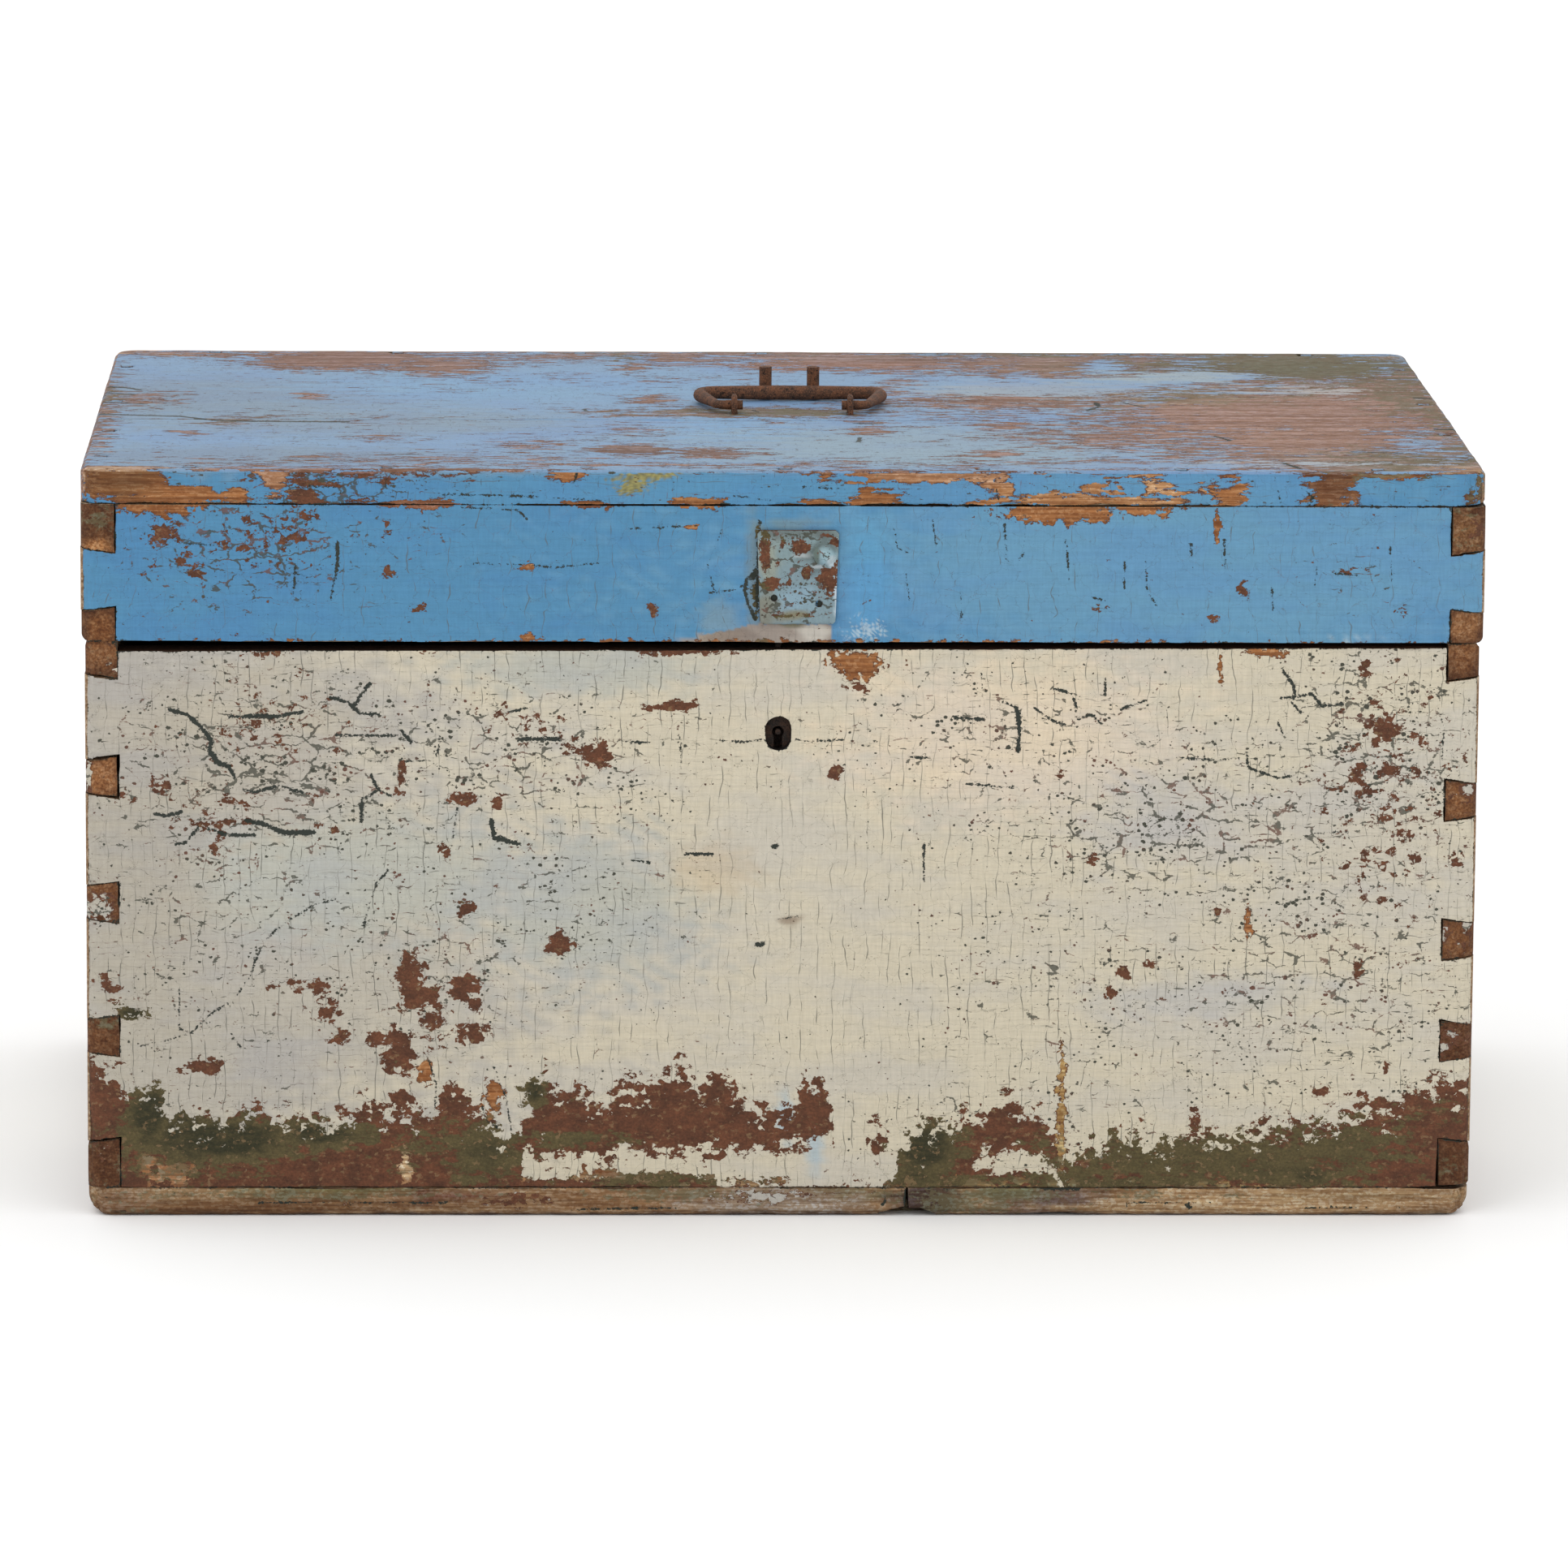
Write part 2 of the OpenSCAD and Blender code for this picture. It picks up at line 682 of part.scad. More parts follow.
module front_board()
    color(cream)
        difference() {
            upright(-box_d / 2, front_t)
                difference() {
                    polygon([
                        [-box_w / 2, bottom_t], [box_w / 2, bottom_t],
                        [box_w / 2, front_top(box_w / 2)], [-box_w / 2, front_top(-box_w / 2)]
                    ]);
                    translate([-box_w / 2, bottom_t])
                        box_pins(left_pin_shifts, cut_past);
                    translate([box_w / 2, bottom_t])
                        mirror([1, 0])
                            box_pins(right_pin_shifts, cut_past);
                    translate([keyhole_x, key_z]) {
                        for (s = [-1, 1])
                            translate([0, s * (keyhole_h - keyhole_w) / 2])
                                circle(d = keyhole_w);
                        square([keyhole_w, keyhole_h - keyhole_w], center = true);
                    }
                }
            corner_cutters(box_w, box_d, box_corner_r, bottom_t, side_h);
            bottom_nail_places()
                nail(fit_gap);
            lock_recess();
            lock_screw_places()
                screw(lock_screw_len, fit_gap);
        }

// Mortise for the lock, open to the top edge and to the inner face
module lock_recess() {
    case_block(fit_gap);
    back_plate_block(fit_gap);
    translate([keyhole_x - lock_w / 2 - fit_gap, case_front_y - fit_gap, case_top_z - cut_past])
        cube([lock_w + 2 * fit_gap, lock_depth + 2 * cut_past, front_drop_left + 2 * cut_past]);
    translate([keyhole_x - lock_w / 2 - plate_lap - fit_gap, inner_y - plate_t - fit_gap, case_bottom_z])
        cube([lock_w + 2 * (plate_lap + fit_gap), plate_t + 2 * cut_past, seam_z - case_bottom_z]);
}

module back_board()
    color(cream)
        difference() {
            upright(-inner_y, front_t)
                difference() {
                    translate([-box_w / 2, bottom_t])
                        square([box_w, side_h]);
                    for (m = [0, 1])
                        mirror([m, 0])
                            translate([-box_w / 2, bottom_t])
                                box_pins(back_pin_shifts, cut_past);
                }
            corner_cutters(box_w, box_d, box_corner_r, bottom_t, side_h);
            bottom_nail_places()
                nail(fit_gap);
            for (side = [-1, 1])
                hinge_places(side) {
                    leaf_recess(box_d / 2, -1);
                    leaf_screw_places(box_d / 2, -1)
                        screw(screw_len, fit_gap);
                }
        }

module bottom_board(y, w)
    color(pine)
        difference() {
            translate([-box_w / 2, y, 0])
                cube([box_w, w, bottom_t]);
            corner_cutters(box_w, box_d, bottom_corner_r, 0, bottom_t);
            mirror([0, 0, 1])
                rim_cutters(box_w, box_d, bottom_corner_r, bottom_edge_r, 0);
            bottom_nail_places()
                nail(fit_gap);
            children();
        }

// Broken notch with a split above it, and the worn hollow to the right of it
module bottom_front_board()
    bottom_board(-box_d / 2, bottom_front_w) {
        hollow_r = (hollow_w * hollow_w / 4 + hollow_h * hollow_h) / (2 * hollow_h);
        split_w = 0.8;
        upright(-box_d / 2 - cut_past, notch_d + cut_past)
            polygon([
                [notch_x - notch_w / 2 - 2, -cut_past], [notch_x - notch_w / 2, notch_h * 0.35],
                [notch_x - notch_w / 4, notch_h * 0.8], [notch_x - split_w, notch_h],
                [notch_x - split_w / 2, bottom_t + cut_past],
                [notch_x + split_w / 2, bottom_t + cut_past],
                [notch_x + split_w, notch_h * 0.9], [notch_x + notch_w / 4, notch_h * 0.9],
                [notch_x + notch_w / 2, notch_h * 0.3], [notch_x + notch_w / 2 + 3, -cut_past]
            ]);
        translate([hollow_x, -box_d / 2 - cut_past, hollow_h - hollow_r])
            rotate([-90, 0, 0])
                cylinder(h = notch_d + cut_past, r = hollow_r, $fn = 240);
    }

module bottom_middle_board()
    bottom_board(
        bottom_splits[1] + bottom_gap, box_d - bottom_front_w - bottom_rear_w - 2 * bottom_gap
    );

module bottom_rear_board()
    bottom_board(bottom_splits[2], bottom_rear_w);

module bottom_nails()
    color(rust)
        bottom_nail_places()
            nail();

module hinge_leaf_box(side)
    color(rust)
        hinge_places(side)
            hinge_leaf(box_d / 2, -1, 0, 0.01);

module hinge_leaf_box_left() hinge_leaf_box(-1);
module hinge_leaf_box_right() hinge_leaf_box(1);

module hinge_pin_left()
    color(rust)
        hinge_places(-1)
            hinge_pin();

module hinge_pin_right()
    color(rust)
        hinge_places(1)
            hinge_pin();

module hinge_screws_box()
    color(rust)
        for (side = [-1, 1])
            hinge_places(side)
                leaf_screw_places(box_d / 2, -1)
                    screw(screw_len);

// Case with the bolt's guides, the key's room and the slot for the catch's lug
module lock_case()
    color(rust)
        difference() {
            case_block();
            upright(cavity_y, cavity_d + cut_past)
                union() {
                    bolt_outline(bolt_throw, running_gap);
                    translate([keyhole_x, key_z])
                        circle(r = key_room_r);
                    translate([keyhole_x - lug_t / 2 - 1, lug_bottom_z - 1])
                        square([lug_t + 2, seam_z - lug_bottom_z]);
                }
            upright(case_front_y - cut_past, case_wall + 2 * cut_past)
                translate([keyhole_x, key_z]) {
                    circle(d = key_bore_d);
                    translate([-key_slot_w / 2, -key_room_r])
                        square([key_slot_w, key_room_r]);
                }
        }

// Plate that closes the case, with the pin that the key turns on
module lock_back_plate()
    color(rust)
        difference() {
            union() {
                back_plate_block();
                upright(case_front_y, lock_depth - plate_t / 2)
                    translate([keyhole_x, key_z])
                        circle(d = key_pin_d);
            }
            lock_screw_places()
                screw(lock_screw_len, fit_gap);
        }

module lock_screws()
    color(rust)
        lock_screw_places()
            screw(lock_screw_len);

// Bolt with a thinned nose, and a tail with the half-round talon that the key pushes
module lock_bolt()
    color(rust)
        difference() {
            upright(cavity_y + running_gap, cavity_d - 2 * running_gap)
                difference() {
                    bolt_outline();
                    translate([tail_x + tail_w / 2, tail_bottom_z])
                        circle(r = tail_w / 4);
                }
            for (y = [cavity_y - cut_past, cavity_mid_y + nose_t / 2])
                translate([nose_x - cut_past, y, bolt_z - bolt_h])
                    cube([
                        nose_len + cut_past, cavity_d / 2 + cut_past - nose_t / 2, 2 * bolt_h
                    ]);
        }

// Lid
module rim_side()
    difference() {
        union() {
            translate([-lid_w / 2, rim_t - lid_d / 2, seam_z])
                cube([rim_t, lid_d - 2 * rim_t, rim_h]);
            translate([-lid_w / 2, 0, seam_z])
                for (y = [-lid_d / 2, lid_d / 2 - rim_t - cut_past])
                    upright(y, rim_t + cut_past)
                        rim_pins();
        }
        corner_cutters(lid_w, lid_d, rim_corner_r, seam_z, rim_h);
        translate([-lid_w / 2, 0, seam_z])
            mirror([1, 0, 1])
                edge_cutter(lid_d + 2 * cut_past, seam_edge_r);
        lid_nail_places()
            nail(fit_gap);
    }

module rim_long(y)
    difference() {
        upright(y, rim_t)
            difference() {
                translate([-lid_w / 2, seam_z])
                    square([lid_w, rim_h]);
                for (m = [0, 1])
                    mirror([m, 0])
                        translate([-lid_w / 2, seam_z])
                            rim_pins(cut_past);
            }
        corner_cutters(lid_w, lid_d, rim_corner_r, seam_z, rim_h);
        lid_nail_places()
            nail(fit_gap);
        children();
    }

module lid_left_rim()
    color(blue)
        rim_side();

module lid_right_rim()
    color(blue)
        mirror([1, 0, 0])
            rim_side();

module lid_front_rim()
    color(blue)
        rim_long(-lid_d / 2) {
            rivet_axis()
                translate([0, 0, -cut_past])
                    cylinder(h = rim_t + 2 * cut_past, d = rivet_d + 2 * fit_gap);
            translate([0, 0, -cut_past])
                catch_block(fit_gap);
            catch_block(fit_gap);
            catch_screw_places()
                screw(screw_len, fit_gap);
        }

module lid_back_rim()
    color(blue)
        rim_long(lid_d / 2 - rim_t)
            for (side = [-1, 1])
                hinge_places(side) {
                    leaf_recess(lid_d / 2, 1);
                    leaf_screw_places(lid_d / 2, 1)
                        screw(screw_len, fit_gap);
                }

module lid_board(y, w)
    color(faded_blue)
        difference() {
            translate([-lid_w / 2, y, rim_top_z])
                cube([lid_w, w, lid_t]);
            corner_cutters(lid_w, lid_d, lid_corner_r, rim_top_z, lid_t);
            rim_cutters(lid_w, lid_d, lid_corner_r, lid_edge_r, lid_top_z);
            lid_nail_places()
                nail(fit_gap);
            children();
        }

module lid_top_front_board()
    lid_board(-lid_d / 2, lid_front_w);

module lid_top_rear_board()
    lid_board(lid_splits[1], lid_d - lid_front_w) {
        staple_leg_holes();
        for (side = [-1, 1])
            stub_pin(side, fit_gap);
    }

module lid_nails()
    color(rust)
        lid_nail_places()
            nail();

module hinge_leaf_lid(side)
    color(rust)
        hinge_places(side)
            hinge_leaf(lid_d / 2, 1, 1, 0.05);

module hinge_leaf_lid_left() hinge_leaf_lid(-1);
module hinge_leaf_lid_right() hinge_leaf_lid(1);

module hinge_screws_lid()
    color(rust)
        for (side = [-1, 1])
            hinge_places(side)
                leaf_screw_places(lid_d / 2, 1)
                    screw(screw_len);

module hasp_leaf()
    color(painted_iron)
        upright(hasp_y - hasp_t, hasp_t)
            translate([hasp_x, hasp_z])
                difference() {
                    polygon([
                        [-hasp_bottom_w / 2 + 1.5, 0], [hasp_bottom_w / 2 - 1.5, 0],
                        [hasp_bottom_w / 2, 1.5], [hasp_top_w / 2, hasp_h - 2],
                        [hasp_top_w / 2 - 2, hasp_h], [2 - hasp_top_w / 2, hasp_h],
                        [-hasp_top_w / 2, hasp_h - 2], [-hasp_bottom_w / 2, 1.5]
                    ]);
                    for (p = hasp_holes)
                        translate(p)
                            circle(d = hasp_hole_d);
                    translate(rivet_at)
                        circle(d = rivet_d + 2 * fit_gap);
                }

// Domed head outside, shank through leaf and rim, and a low dome hammered over the washer
module hasp_rivet() {
    dome_r = (rivet_head_d * rivet_head_d / 4 + rivet_head_h * rivet_head_h) / (2 * rivet_head_h);
    tail_h = 2;
    color(painted_iron)
        rivet_axis() {
            intersection() {
                translate([0, 0, dome_r - rivet_head_h - hasp_t])
                    sphere(r = dome_r);
                translate([0, 0, -hasp_t - rivet_head_h])
                    cylinder(h = rivet_head_h, d = rivet_head_d);
            }
            translate([0, 0, -hasp_t])
                cylinder(h = hasp_t + rim_t + washer_t, d = rivet_d);
            translate([0, 0, rim_t + washer_t])
                cylinder(h = tail_h, d1 = rivet_d + 3, d2 = rivet_d - 2);
        }
}

module rivet_washer()
    color(rust)
        rivet_axis()
            translate([0, 0, rim_t])
                difference() {
                    cylinder(h = washer_t, d = washer_d);
                    translate([0, 0, -cut_past])
                        cylinder(h = washer_t + 2 * cut_past, d = rivet_d + 2 * fit_gap);
                }

// Plate let into the rim's lower edge, with an eyed lug that drops into the lock
module lock_catch()
    color(rust)
        difference() {
            union() {
                catch_block();
                translate([keyhole_x - lug_t / 2, catch_y - lug_w / 2, lug_bottom_z])
                    cube([lug_t, lug_w, seam_z - lug_bottom_z + catch_t]);
            }
            translate([keyhole_x - lug_t, catch_y - eye_w / 2, bolt_z - eye_h / 2])
                cube([2 * lug_t, eye_w, eye_h]);
            catch_screw_places()
                screw(screw_len, fit_gap);
        }

module catch_screws()
    color(rust)
        catch_screw_places()
            screw(screw_len);

module bail_staple_left()
    color(rust)
        bail_staple(-1);

module bail_staple_right()
    color(rust)
        bail_staple(1);

module stub_pin_left()
    color(rust)
        stub_pin(-1);

module stub_pin_right()
    color(rust)
        stub_pin(1);

// Forged bail: a bar that swells at the grip and tapers into true round turned-in ends
module bail_handle()
    color(rust)
        translate([handle_x, pivot_y, pivot_z]) {
            swept_bar(bail_line, 16);
            for (side = [-1, 1])
                translate([side * (end_start - bail_end_len / 2), 0, 0])
                    rotate([0, 90, 0])
                        cylinder(h = bail_end_len, d = bail_end_d, center = true);
        }

front_board();
back_board();
left_side_board();
right_side_board();
bottom_front_board();
bottom_middle_board();
bottom_rear_board();
bottom_nails();
hinge_leaf_box_left();
hinge_leaf_box_right();
hinge_pin_left();
hinge_pin_right();
hinge_screws_box();
lock_case();
lock_back_plate();
lock_screws();
lock_bolt();
lid_top_front_board();
lid_top_rear_board();
lid_front_rim();
lid_back_rim();
lid_left_rim();
lid_right_rim();
lid_nails();
hinge_leaf_lid_left();
hinge_leaf_lid_right();
hinge_screws_lid();
hasp_leaf();
hasp_rivet();
rivet_washer();
lock_catch();
catch_screws();
bail_staple_left();
bail_staple_right();
stub_pin_left();
stub_pin_right();
bail_handle();
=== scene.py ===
"""Old painted pine chest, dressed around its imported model. Metres, front towards -Y."""
import json
import math
import random

import bmesh
import bpy
import numpy as np
from mathutils import Matrix, Vector, kdtree, noise

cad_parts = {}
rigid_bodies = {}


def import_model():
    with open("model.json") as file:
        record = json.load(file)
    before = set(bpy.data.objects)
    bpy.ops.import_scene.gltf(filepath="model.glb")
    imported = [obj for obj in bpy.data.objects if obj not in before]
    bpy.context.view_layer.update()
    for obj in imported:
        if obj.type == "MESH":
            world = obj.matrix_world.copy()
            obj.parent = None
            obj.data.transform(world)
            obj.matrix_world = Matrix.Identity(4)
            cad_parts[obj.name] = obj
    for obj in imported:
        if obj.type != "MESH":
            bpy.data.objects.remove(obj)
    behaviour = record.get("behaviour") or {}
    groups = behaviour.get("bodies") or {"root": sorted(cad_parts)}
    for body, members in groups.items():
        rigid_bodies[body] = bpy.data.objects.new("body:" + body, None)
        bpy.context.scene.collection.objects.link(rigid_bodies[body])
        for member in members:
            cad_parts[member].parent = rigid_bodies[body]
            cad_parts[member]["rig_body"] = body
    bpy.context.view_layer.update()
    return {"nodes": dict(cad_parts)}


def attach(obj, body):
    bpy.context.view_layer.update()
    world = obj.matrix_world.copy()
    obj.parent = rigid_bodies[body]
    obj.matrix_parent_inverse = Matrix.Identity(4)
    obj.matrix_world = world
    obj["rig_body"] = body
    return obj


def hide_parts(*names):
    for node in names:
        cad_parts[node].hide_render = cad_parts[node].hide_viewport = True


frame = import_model()
nodes = frame["nodes"]
MM = 0.001
TO_MM = 1000.0

# Camera: a long lens a little above the chest and to its left, as in the photograph.
VIEW_YAW = math.radians(1.795)
VIEW_PITCH = math.radians(10.471)
VIEW_ROLL = math.radians(0.408)
VIEW_PLACE = (-0.1614, -5.4144, 1.2086)
forward = Vector((
    math.sin(VIEW_YAW) * math.cos(VIEW_PITCH),
    math.cos(VIEW_YAW) * math.cos(VIEW_PITCH),
    -math.sin(VIEW_PITCH),
))
level = Vector((math.cos(VIEW_YAW), -math.sin(VIEW_YAW), 0))
upward = level.cross(forward)
right = math.cos(VIEW_ROLL) * level + math.sin(VIEW_ROLL) * upward
top = math.cos(VIEW_ROLL) * upward - math.sin(VIEW_ROLL) * level
lens = bpy.data.cameras.new("photo_camera")
lens.sensor_width = 36
lens.lens = 211.3
lens.clip_end = 50
camera = bpy.data.objects.new("photo_camera", lens)
facing = Matrix((right, top, -forward)).transposed().to_4x4()
camera.matrix_world = Matrix.Translation(VIEW_PLACE) @ facing
bpy.context.scene.collection.objects.link(camera)
bpy.context.scene.camera = camera

# Stage: a pale floor and soft light from all round, with one large lamp above the front.
bpy.context.scene.view_settings.view_transform = "Standard"
world = bpy.data.worlds.new("soft_studio")
world.use_nodes = True
sky = world.node_tree.nodes["Background"].inputs
sky["Color"].default_value = (1.0, 1.0, 1.0, 1)
sky["Strength"].default_value = 1.15
bpy.context.scene.world = world

LAMP_PLACE = Vector((-1.3, -2.4, 2.6))
LAMP_AIM = Vector((0, 0, 0.25))
lamp = bpy.data.lights.new("key_lamp", "AREA")
lamp.shape = "DISK"
lamp.size = 1.4
lamp.energy = 9
key_lamp = bpy.data.objects.new("key_lamp", lamp)
turn = (LAMP_AIM - LAMP_PLACE).to_track_quat("-Z", "Y")
key_lamp.matrix_world = Matrix.Translation(LAMP_PLACE) @ turn.to_matrix().to_4x4()
bpy.context.scene.collection.objects.link(key_lamp)

floor_mesh = bpy.data.meshes.new("floor")
floor_mesh.from_pydata([(-20, -20, 0), (20, -20, 0), (20, 30, 0), (-20, 30, 0)], [], [(0, 1, 2, 3)])
floor = bpy.data.objects.new("floor", floor_mesh)
floor_paint = bpy.data.materials.new("pale_floor")
floor_paint.use_nodes = True
floor_shader = floor_paint.node_tree.nodes["Principled BSDF"].inputs
floor_shader["Base Color"].default_value = (0.97, 0.97, 0.97, 1)
floor_shader["Roughness"].default_value = 0.9
floor_shader["Specular IOR Level"].default_value = 0.2
floor_mesh.materials.append(floor_paint)
bpy.context.scene.collection.objects.link(floor)

# Front board of the box: one wide pine board, red-brown undercoat and cream paint over it. The
# cream has crazed, flaked off in specks, and gone along the foot where the chest stood damp.
CELL = 4.0
FINE_CUTS = 3
SAME_PLACE = 2e-6
JOINT_STEP = 1.2 * MM
FAR_FROM_JOINT = 30.0
SHARP_FROM = math.radians(32)
FULL_ARRIS = 0.29
NO_CRACK = 9.0
ALL_BARE = 1.5
X, Y, Z = 0, 1, 2
FRONT, BACK = (0, -1, 0), (0, 1, 0)
LEFT, RIGHT = (-1, 0, 0), (1, 0, 0)
UP, DOWN = (0, 0, 1), (0, 0, -1)
CREAM = (0.590, 0.529, 0.402)
CREAM_COOL = (0.455, 0.45, 0.385)
CREAM_GREY = (0.462, 0.424, 0.350)
CREAM_PEACH = (0.690, 0.580, 0.425)
FRESH_CHIP = (0.36, 0.155, 0.055)
DARK_PINE = (0.118, 0.048, 0.018)
INSIDE_PINE = (0.35, 0.235, 0.135)


def add_node(tree, kind, ties, out=0, **settings):
    """Adds one node, sets it, ties or fills its inputs, and returns one of its outputs."""
    node = tree.nodes.new(kind)
    for key, value in settings.items():
        setattr(node, key, value)
    for socket, source in ties.items():
        if isinstance(source, bpy.types.NodeSocket):
            tree.links.new(source, node.inputs[socket])
        else:
            node.inputs[socket].default_value = source
    return node.outputs[out]


class Finish:
    """One material, built in the order in which the layers were laid on. Sizes are in mm."""

    def __init__(self, name):
        self.material = bpy.data.materials.new(name)
        self.material.use_nodes = True
        self.tree = self.material.node_tree
        self.shader = self.tree.nodes["Principled BSDF"]
        place = self.put("ShaderNodeTexCoord", {}, "Object")
        self.place = self.vector("SCALE", {0: place, 3: TO_MM})

    def put(self, kind, ties, out=0, **settings):
        return add_node(self.tree, kind, ties, out, **settings)

    def vector(self, operation, ties, out=0):
        return self.put("ShaderNodeVectorMath", ties, out, operation=operation)

    def math(self, operation, a, b=0.0, clamp=False):
        return self.put("ShaderNodeMath", {0: a, 1: b}, operation=operation, use_clamp=clamp)

    def part(self, value, factor):
        return self.math("MULTIPLY", value, factor)

    def less(self, value, taken):
        return self.math("SUBTRACT", value, taken)

    def times_plus(self, a, b, c):
        return self.put("ShaderNodeMath", {0: a, 1: b, 2: c}, operation="MULTIPLY_ADD")

    def shrink(self, place, sizes):
        return self.vector("MULTIPLY", {0: place, 1: tuple(1 / size for size in sizes)})

    def noise(self, place, sizes, detail=3.0, rough=0.55, out="Fac"):
        return self.put("ShaderNodeTexNoise", {
            "Vector": self.shrink(place, sizes), "Scale": 1.0, "Detail": detail, "Roughness": rough,
        }, out)

    def cells(self, place, sizes, feature="F1", out="Color"):
        return self.put("ShaderNodeTexVoronoi", {
            "Vector": self.shrink(place, sizes), "Scale": 1.0,
        }, out, feature=feature)

    def ragged(self, size, reach):
        """The place, shaken by a noise, so that what follows it has a ragged outline."""
        shake = self.noise(self.place, (size, size, size), 3.0, 0.6, "Color")
        shake = self.vector("SUBTRACT", {0: shake, 1: (0.5, 0.5, 0.5)})
        return self.vector("ADD", {0: self.place, 1: self.vector("SCALE", {0: shake, 3: reach})})

    def moved(self, by):
        """The place, moved far off, so that a second noise doesn't repeat the first."""
        return self.vector("ADD", {0: self.place, 1: by})

    def layer(self, name, out="Fac"):
        return self.put("ShaderNodeAttribute", {}, out, attribute_name=name)

    def step(self, value, at, soft):
        return self.put("ShaderNodeMapRange", {
            "Value": value, "From Min": at - soft, "From Max": at + soft,
        }, interpolation_type="SMOOTHSTEP")

    def mix(self, share, under, over, blend="MIX"):
        under, over = (
            paint if isinstance(paint, bpy.types.NodeSocket) else (*paint, 1)
            for paint in (under, over)
        )
        return self.put("ShaderNodeMix", {0: share, 6: under, 7: over}, 2,
                        data_type="RGBA", blend_type=blend)

    def stained(self, share, under, stain):
        return self.mix(share, under, stain, "MULTIPLY")

    def close(self, paint, roughness, height, depth, strength):
        tie = self.tree.links.new
        tie(paint, self.shader.inputs["Base Color"])
        tie(roughness, self.shader.inputs["Roughness"])
        tie(self.put("ShaderNodeBump", {
            "Height": height, "Distance": depth * MM, "Strength": strength,
        }), self.shader.inputs["Normal"])
        self.shader.inputs["Specular IOR Level"].default_value = 0.3
        return self.material


def old_paint(name, grain, chip, blot, way, pitch, hair_share, speck=(3.3, 3.3, 2.7)):
    """Pine, undercoat and topcoat, each laid bare where the board's own layers say so.

    The hair cracks run along the axis called way, pitch millimetres apart."""
    f = Finish(name)

    # The pine's fibres, rings and mottling.
    fibre = f.noise(f.place, grain, 5.0, 0.62)
    ring = f.noise(f.place, tuple(4.5 * part for part in grain), 3.0, 0.5)
    mottling = tuple(max(3.4, 0.09 * part) for part in grain)
    mottle = f.noise(f.moved((61.0, 23.0, 83.0)), mottling, 5.0, 0.72)
    wood = f.layer("wood", "Color")
    wood = f.stained(f.step(fibre, 0.5, 0.16), wood, (0.50, 0.42, 0.36))
    wood = f.stained(f.part(f.step(ring, 0.52, 0.1), 0.65), wood, (0.58, 0.48, 0.40))
    wood = f.stained(f.step(mottle, 0.55, 0.12), wood, (0.80, 0.72, 0.66))

    # Ragged flakes and crumbs of paint, and the blots in which they gather.
    rough_place = f.ragged(3.2, 3.4)
    fine_place = f.ragged(1.2, 1.7)
    blots = f.noise(f.place, blot, 6.0, 0.68)
    more_blots = f.noise(f.moved((173.0, 91.0, 57.0)), blot, 6.0, 0.66)
    flakes = f.cells(rough_place, chip)
    crumbs = f.cells(fine_place, tuple(0.42 * part for part in chip))
    grains = f.noise(rough_place, tuple(0.3 * part for part in blot), 4.0, 0.7)

    # Mould, on the wood and on the undercoat, where the damp has drawn it.
    mould = f.layer("mould")
    damp = f.noise(f.moved((37.0, 11.0, 5.0)), (20.0, 20.0, 7.0), 7.0, 0.78)
    damp = f.times_plus(damp, 2.8, -0.9)
    damp = f.times_plus(mottle, 1.5, f.math("ADD", damp, -0.75))
    mould_share = f.step(f.less(mould, damp), 0.0, 0.12)
    wood = f.mix(f.part(mould_share, 0.72), wood, (0.105, 0.088, 0.045))
    blackened = f.part(f.step(mould, 1.15, 0.3), 0.6)
    soaked = f.part(f.step(damp, 0.42, 0.4), 0.45)
    old_green = f.math("ADD", blackened, soaked, clamp=True)
    green = f.mix(old_green, (0.120, 0.092, 0.038), (0.036, 0.034, 0.015))

    # Undercoat: red-brown, gritty, and rubbed pale here and there.
    cloud = f.noise(f.place, (10.0, 10.0, 6.0), 5.0, 0.7)
    under = f.mix(f.step(cloud, 0.5, 0.2), (0.165, 0.062, 0.030), (0.085, 0.035, 0.019))
    under = f.mix(mould_share, under, green)
    grit = f.step(f.noise(f.place, (1.6, 1.6, 1.4), 4.0, 0.7), 0.5, 0.2)
    under = f.stained(grit, under, (0.60, 0.60, 0.62))
    rubbed = f.part(f.step(crumbs, 0.74, 0.03), f.step(mottle, 0.52, 0.05))
    under = f.mix(f.part(rubbed, 0.6), under, (0.215, 0.135, 0.068))

    # Where the topcoat is lost, and where the undercoat has gone with it.
    craze = f.layer("craze")
    lift = f.times_plus(crumbs, 0.35, f.times_plus(grains, 1.0, -1.05))
    lift = f.times_plus(flakes, 0.85, lift)
    lift_top = f.times_plus(blots, 0.9, lift)
    lift_wood = f.times_plus(more_blots, 0.9, lift)
    primer = f.times_plus(f.layer("primer"), 1.3, f.times_plus(craze, 0.14, -0.24))
    bare = f.times_plus(f.layer("bare"), 1.3, -0.22)
    stripped = f.less(bare, lift_wood)
    lost_wood = f.step(stripped, 0.0, 0.03)
    lost_top = f.math(
        "MAXIMUM", f.step(f.less(primer, lift_top), 0.0, 0.03), f.step(stripped, -0.11, 0.03)
    )
    lost = f.math("MAXIMUM", lost_top, lost_wood)

    # Pale splinters in the bare wood, and a dark rim round each chip: a painted shadow of the
    # paint's raised edge on the wood.
    wood = f.stained(f.part(f.step(crumbs, 0.62, 0.08), 0.7), wood, (1.40, 1.75, 2.30))
    chip_rim_shadow = f.part(f.less(1.0, f.step(stripped, 0.05, 0.05)), 0.55)
    wood = f.mix(chip_rim_shadow, wood, (0.17, 0.085, 0.045))

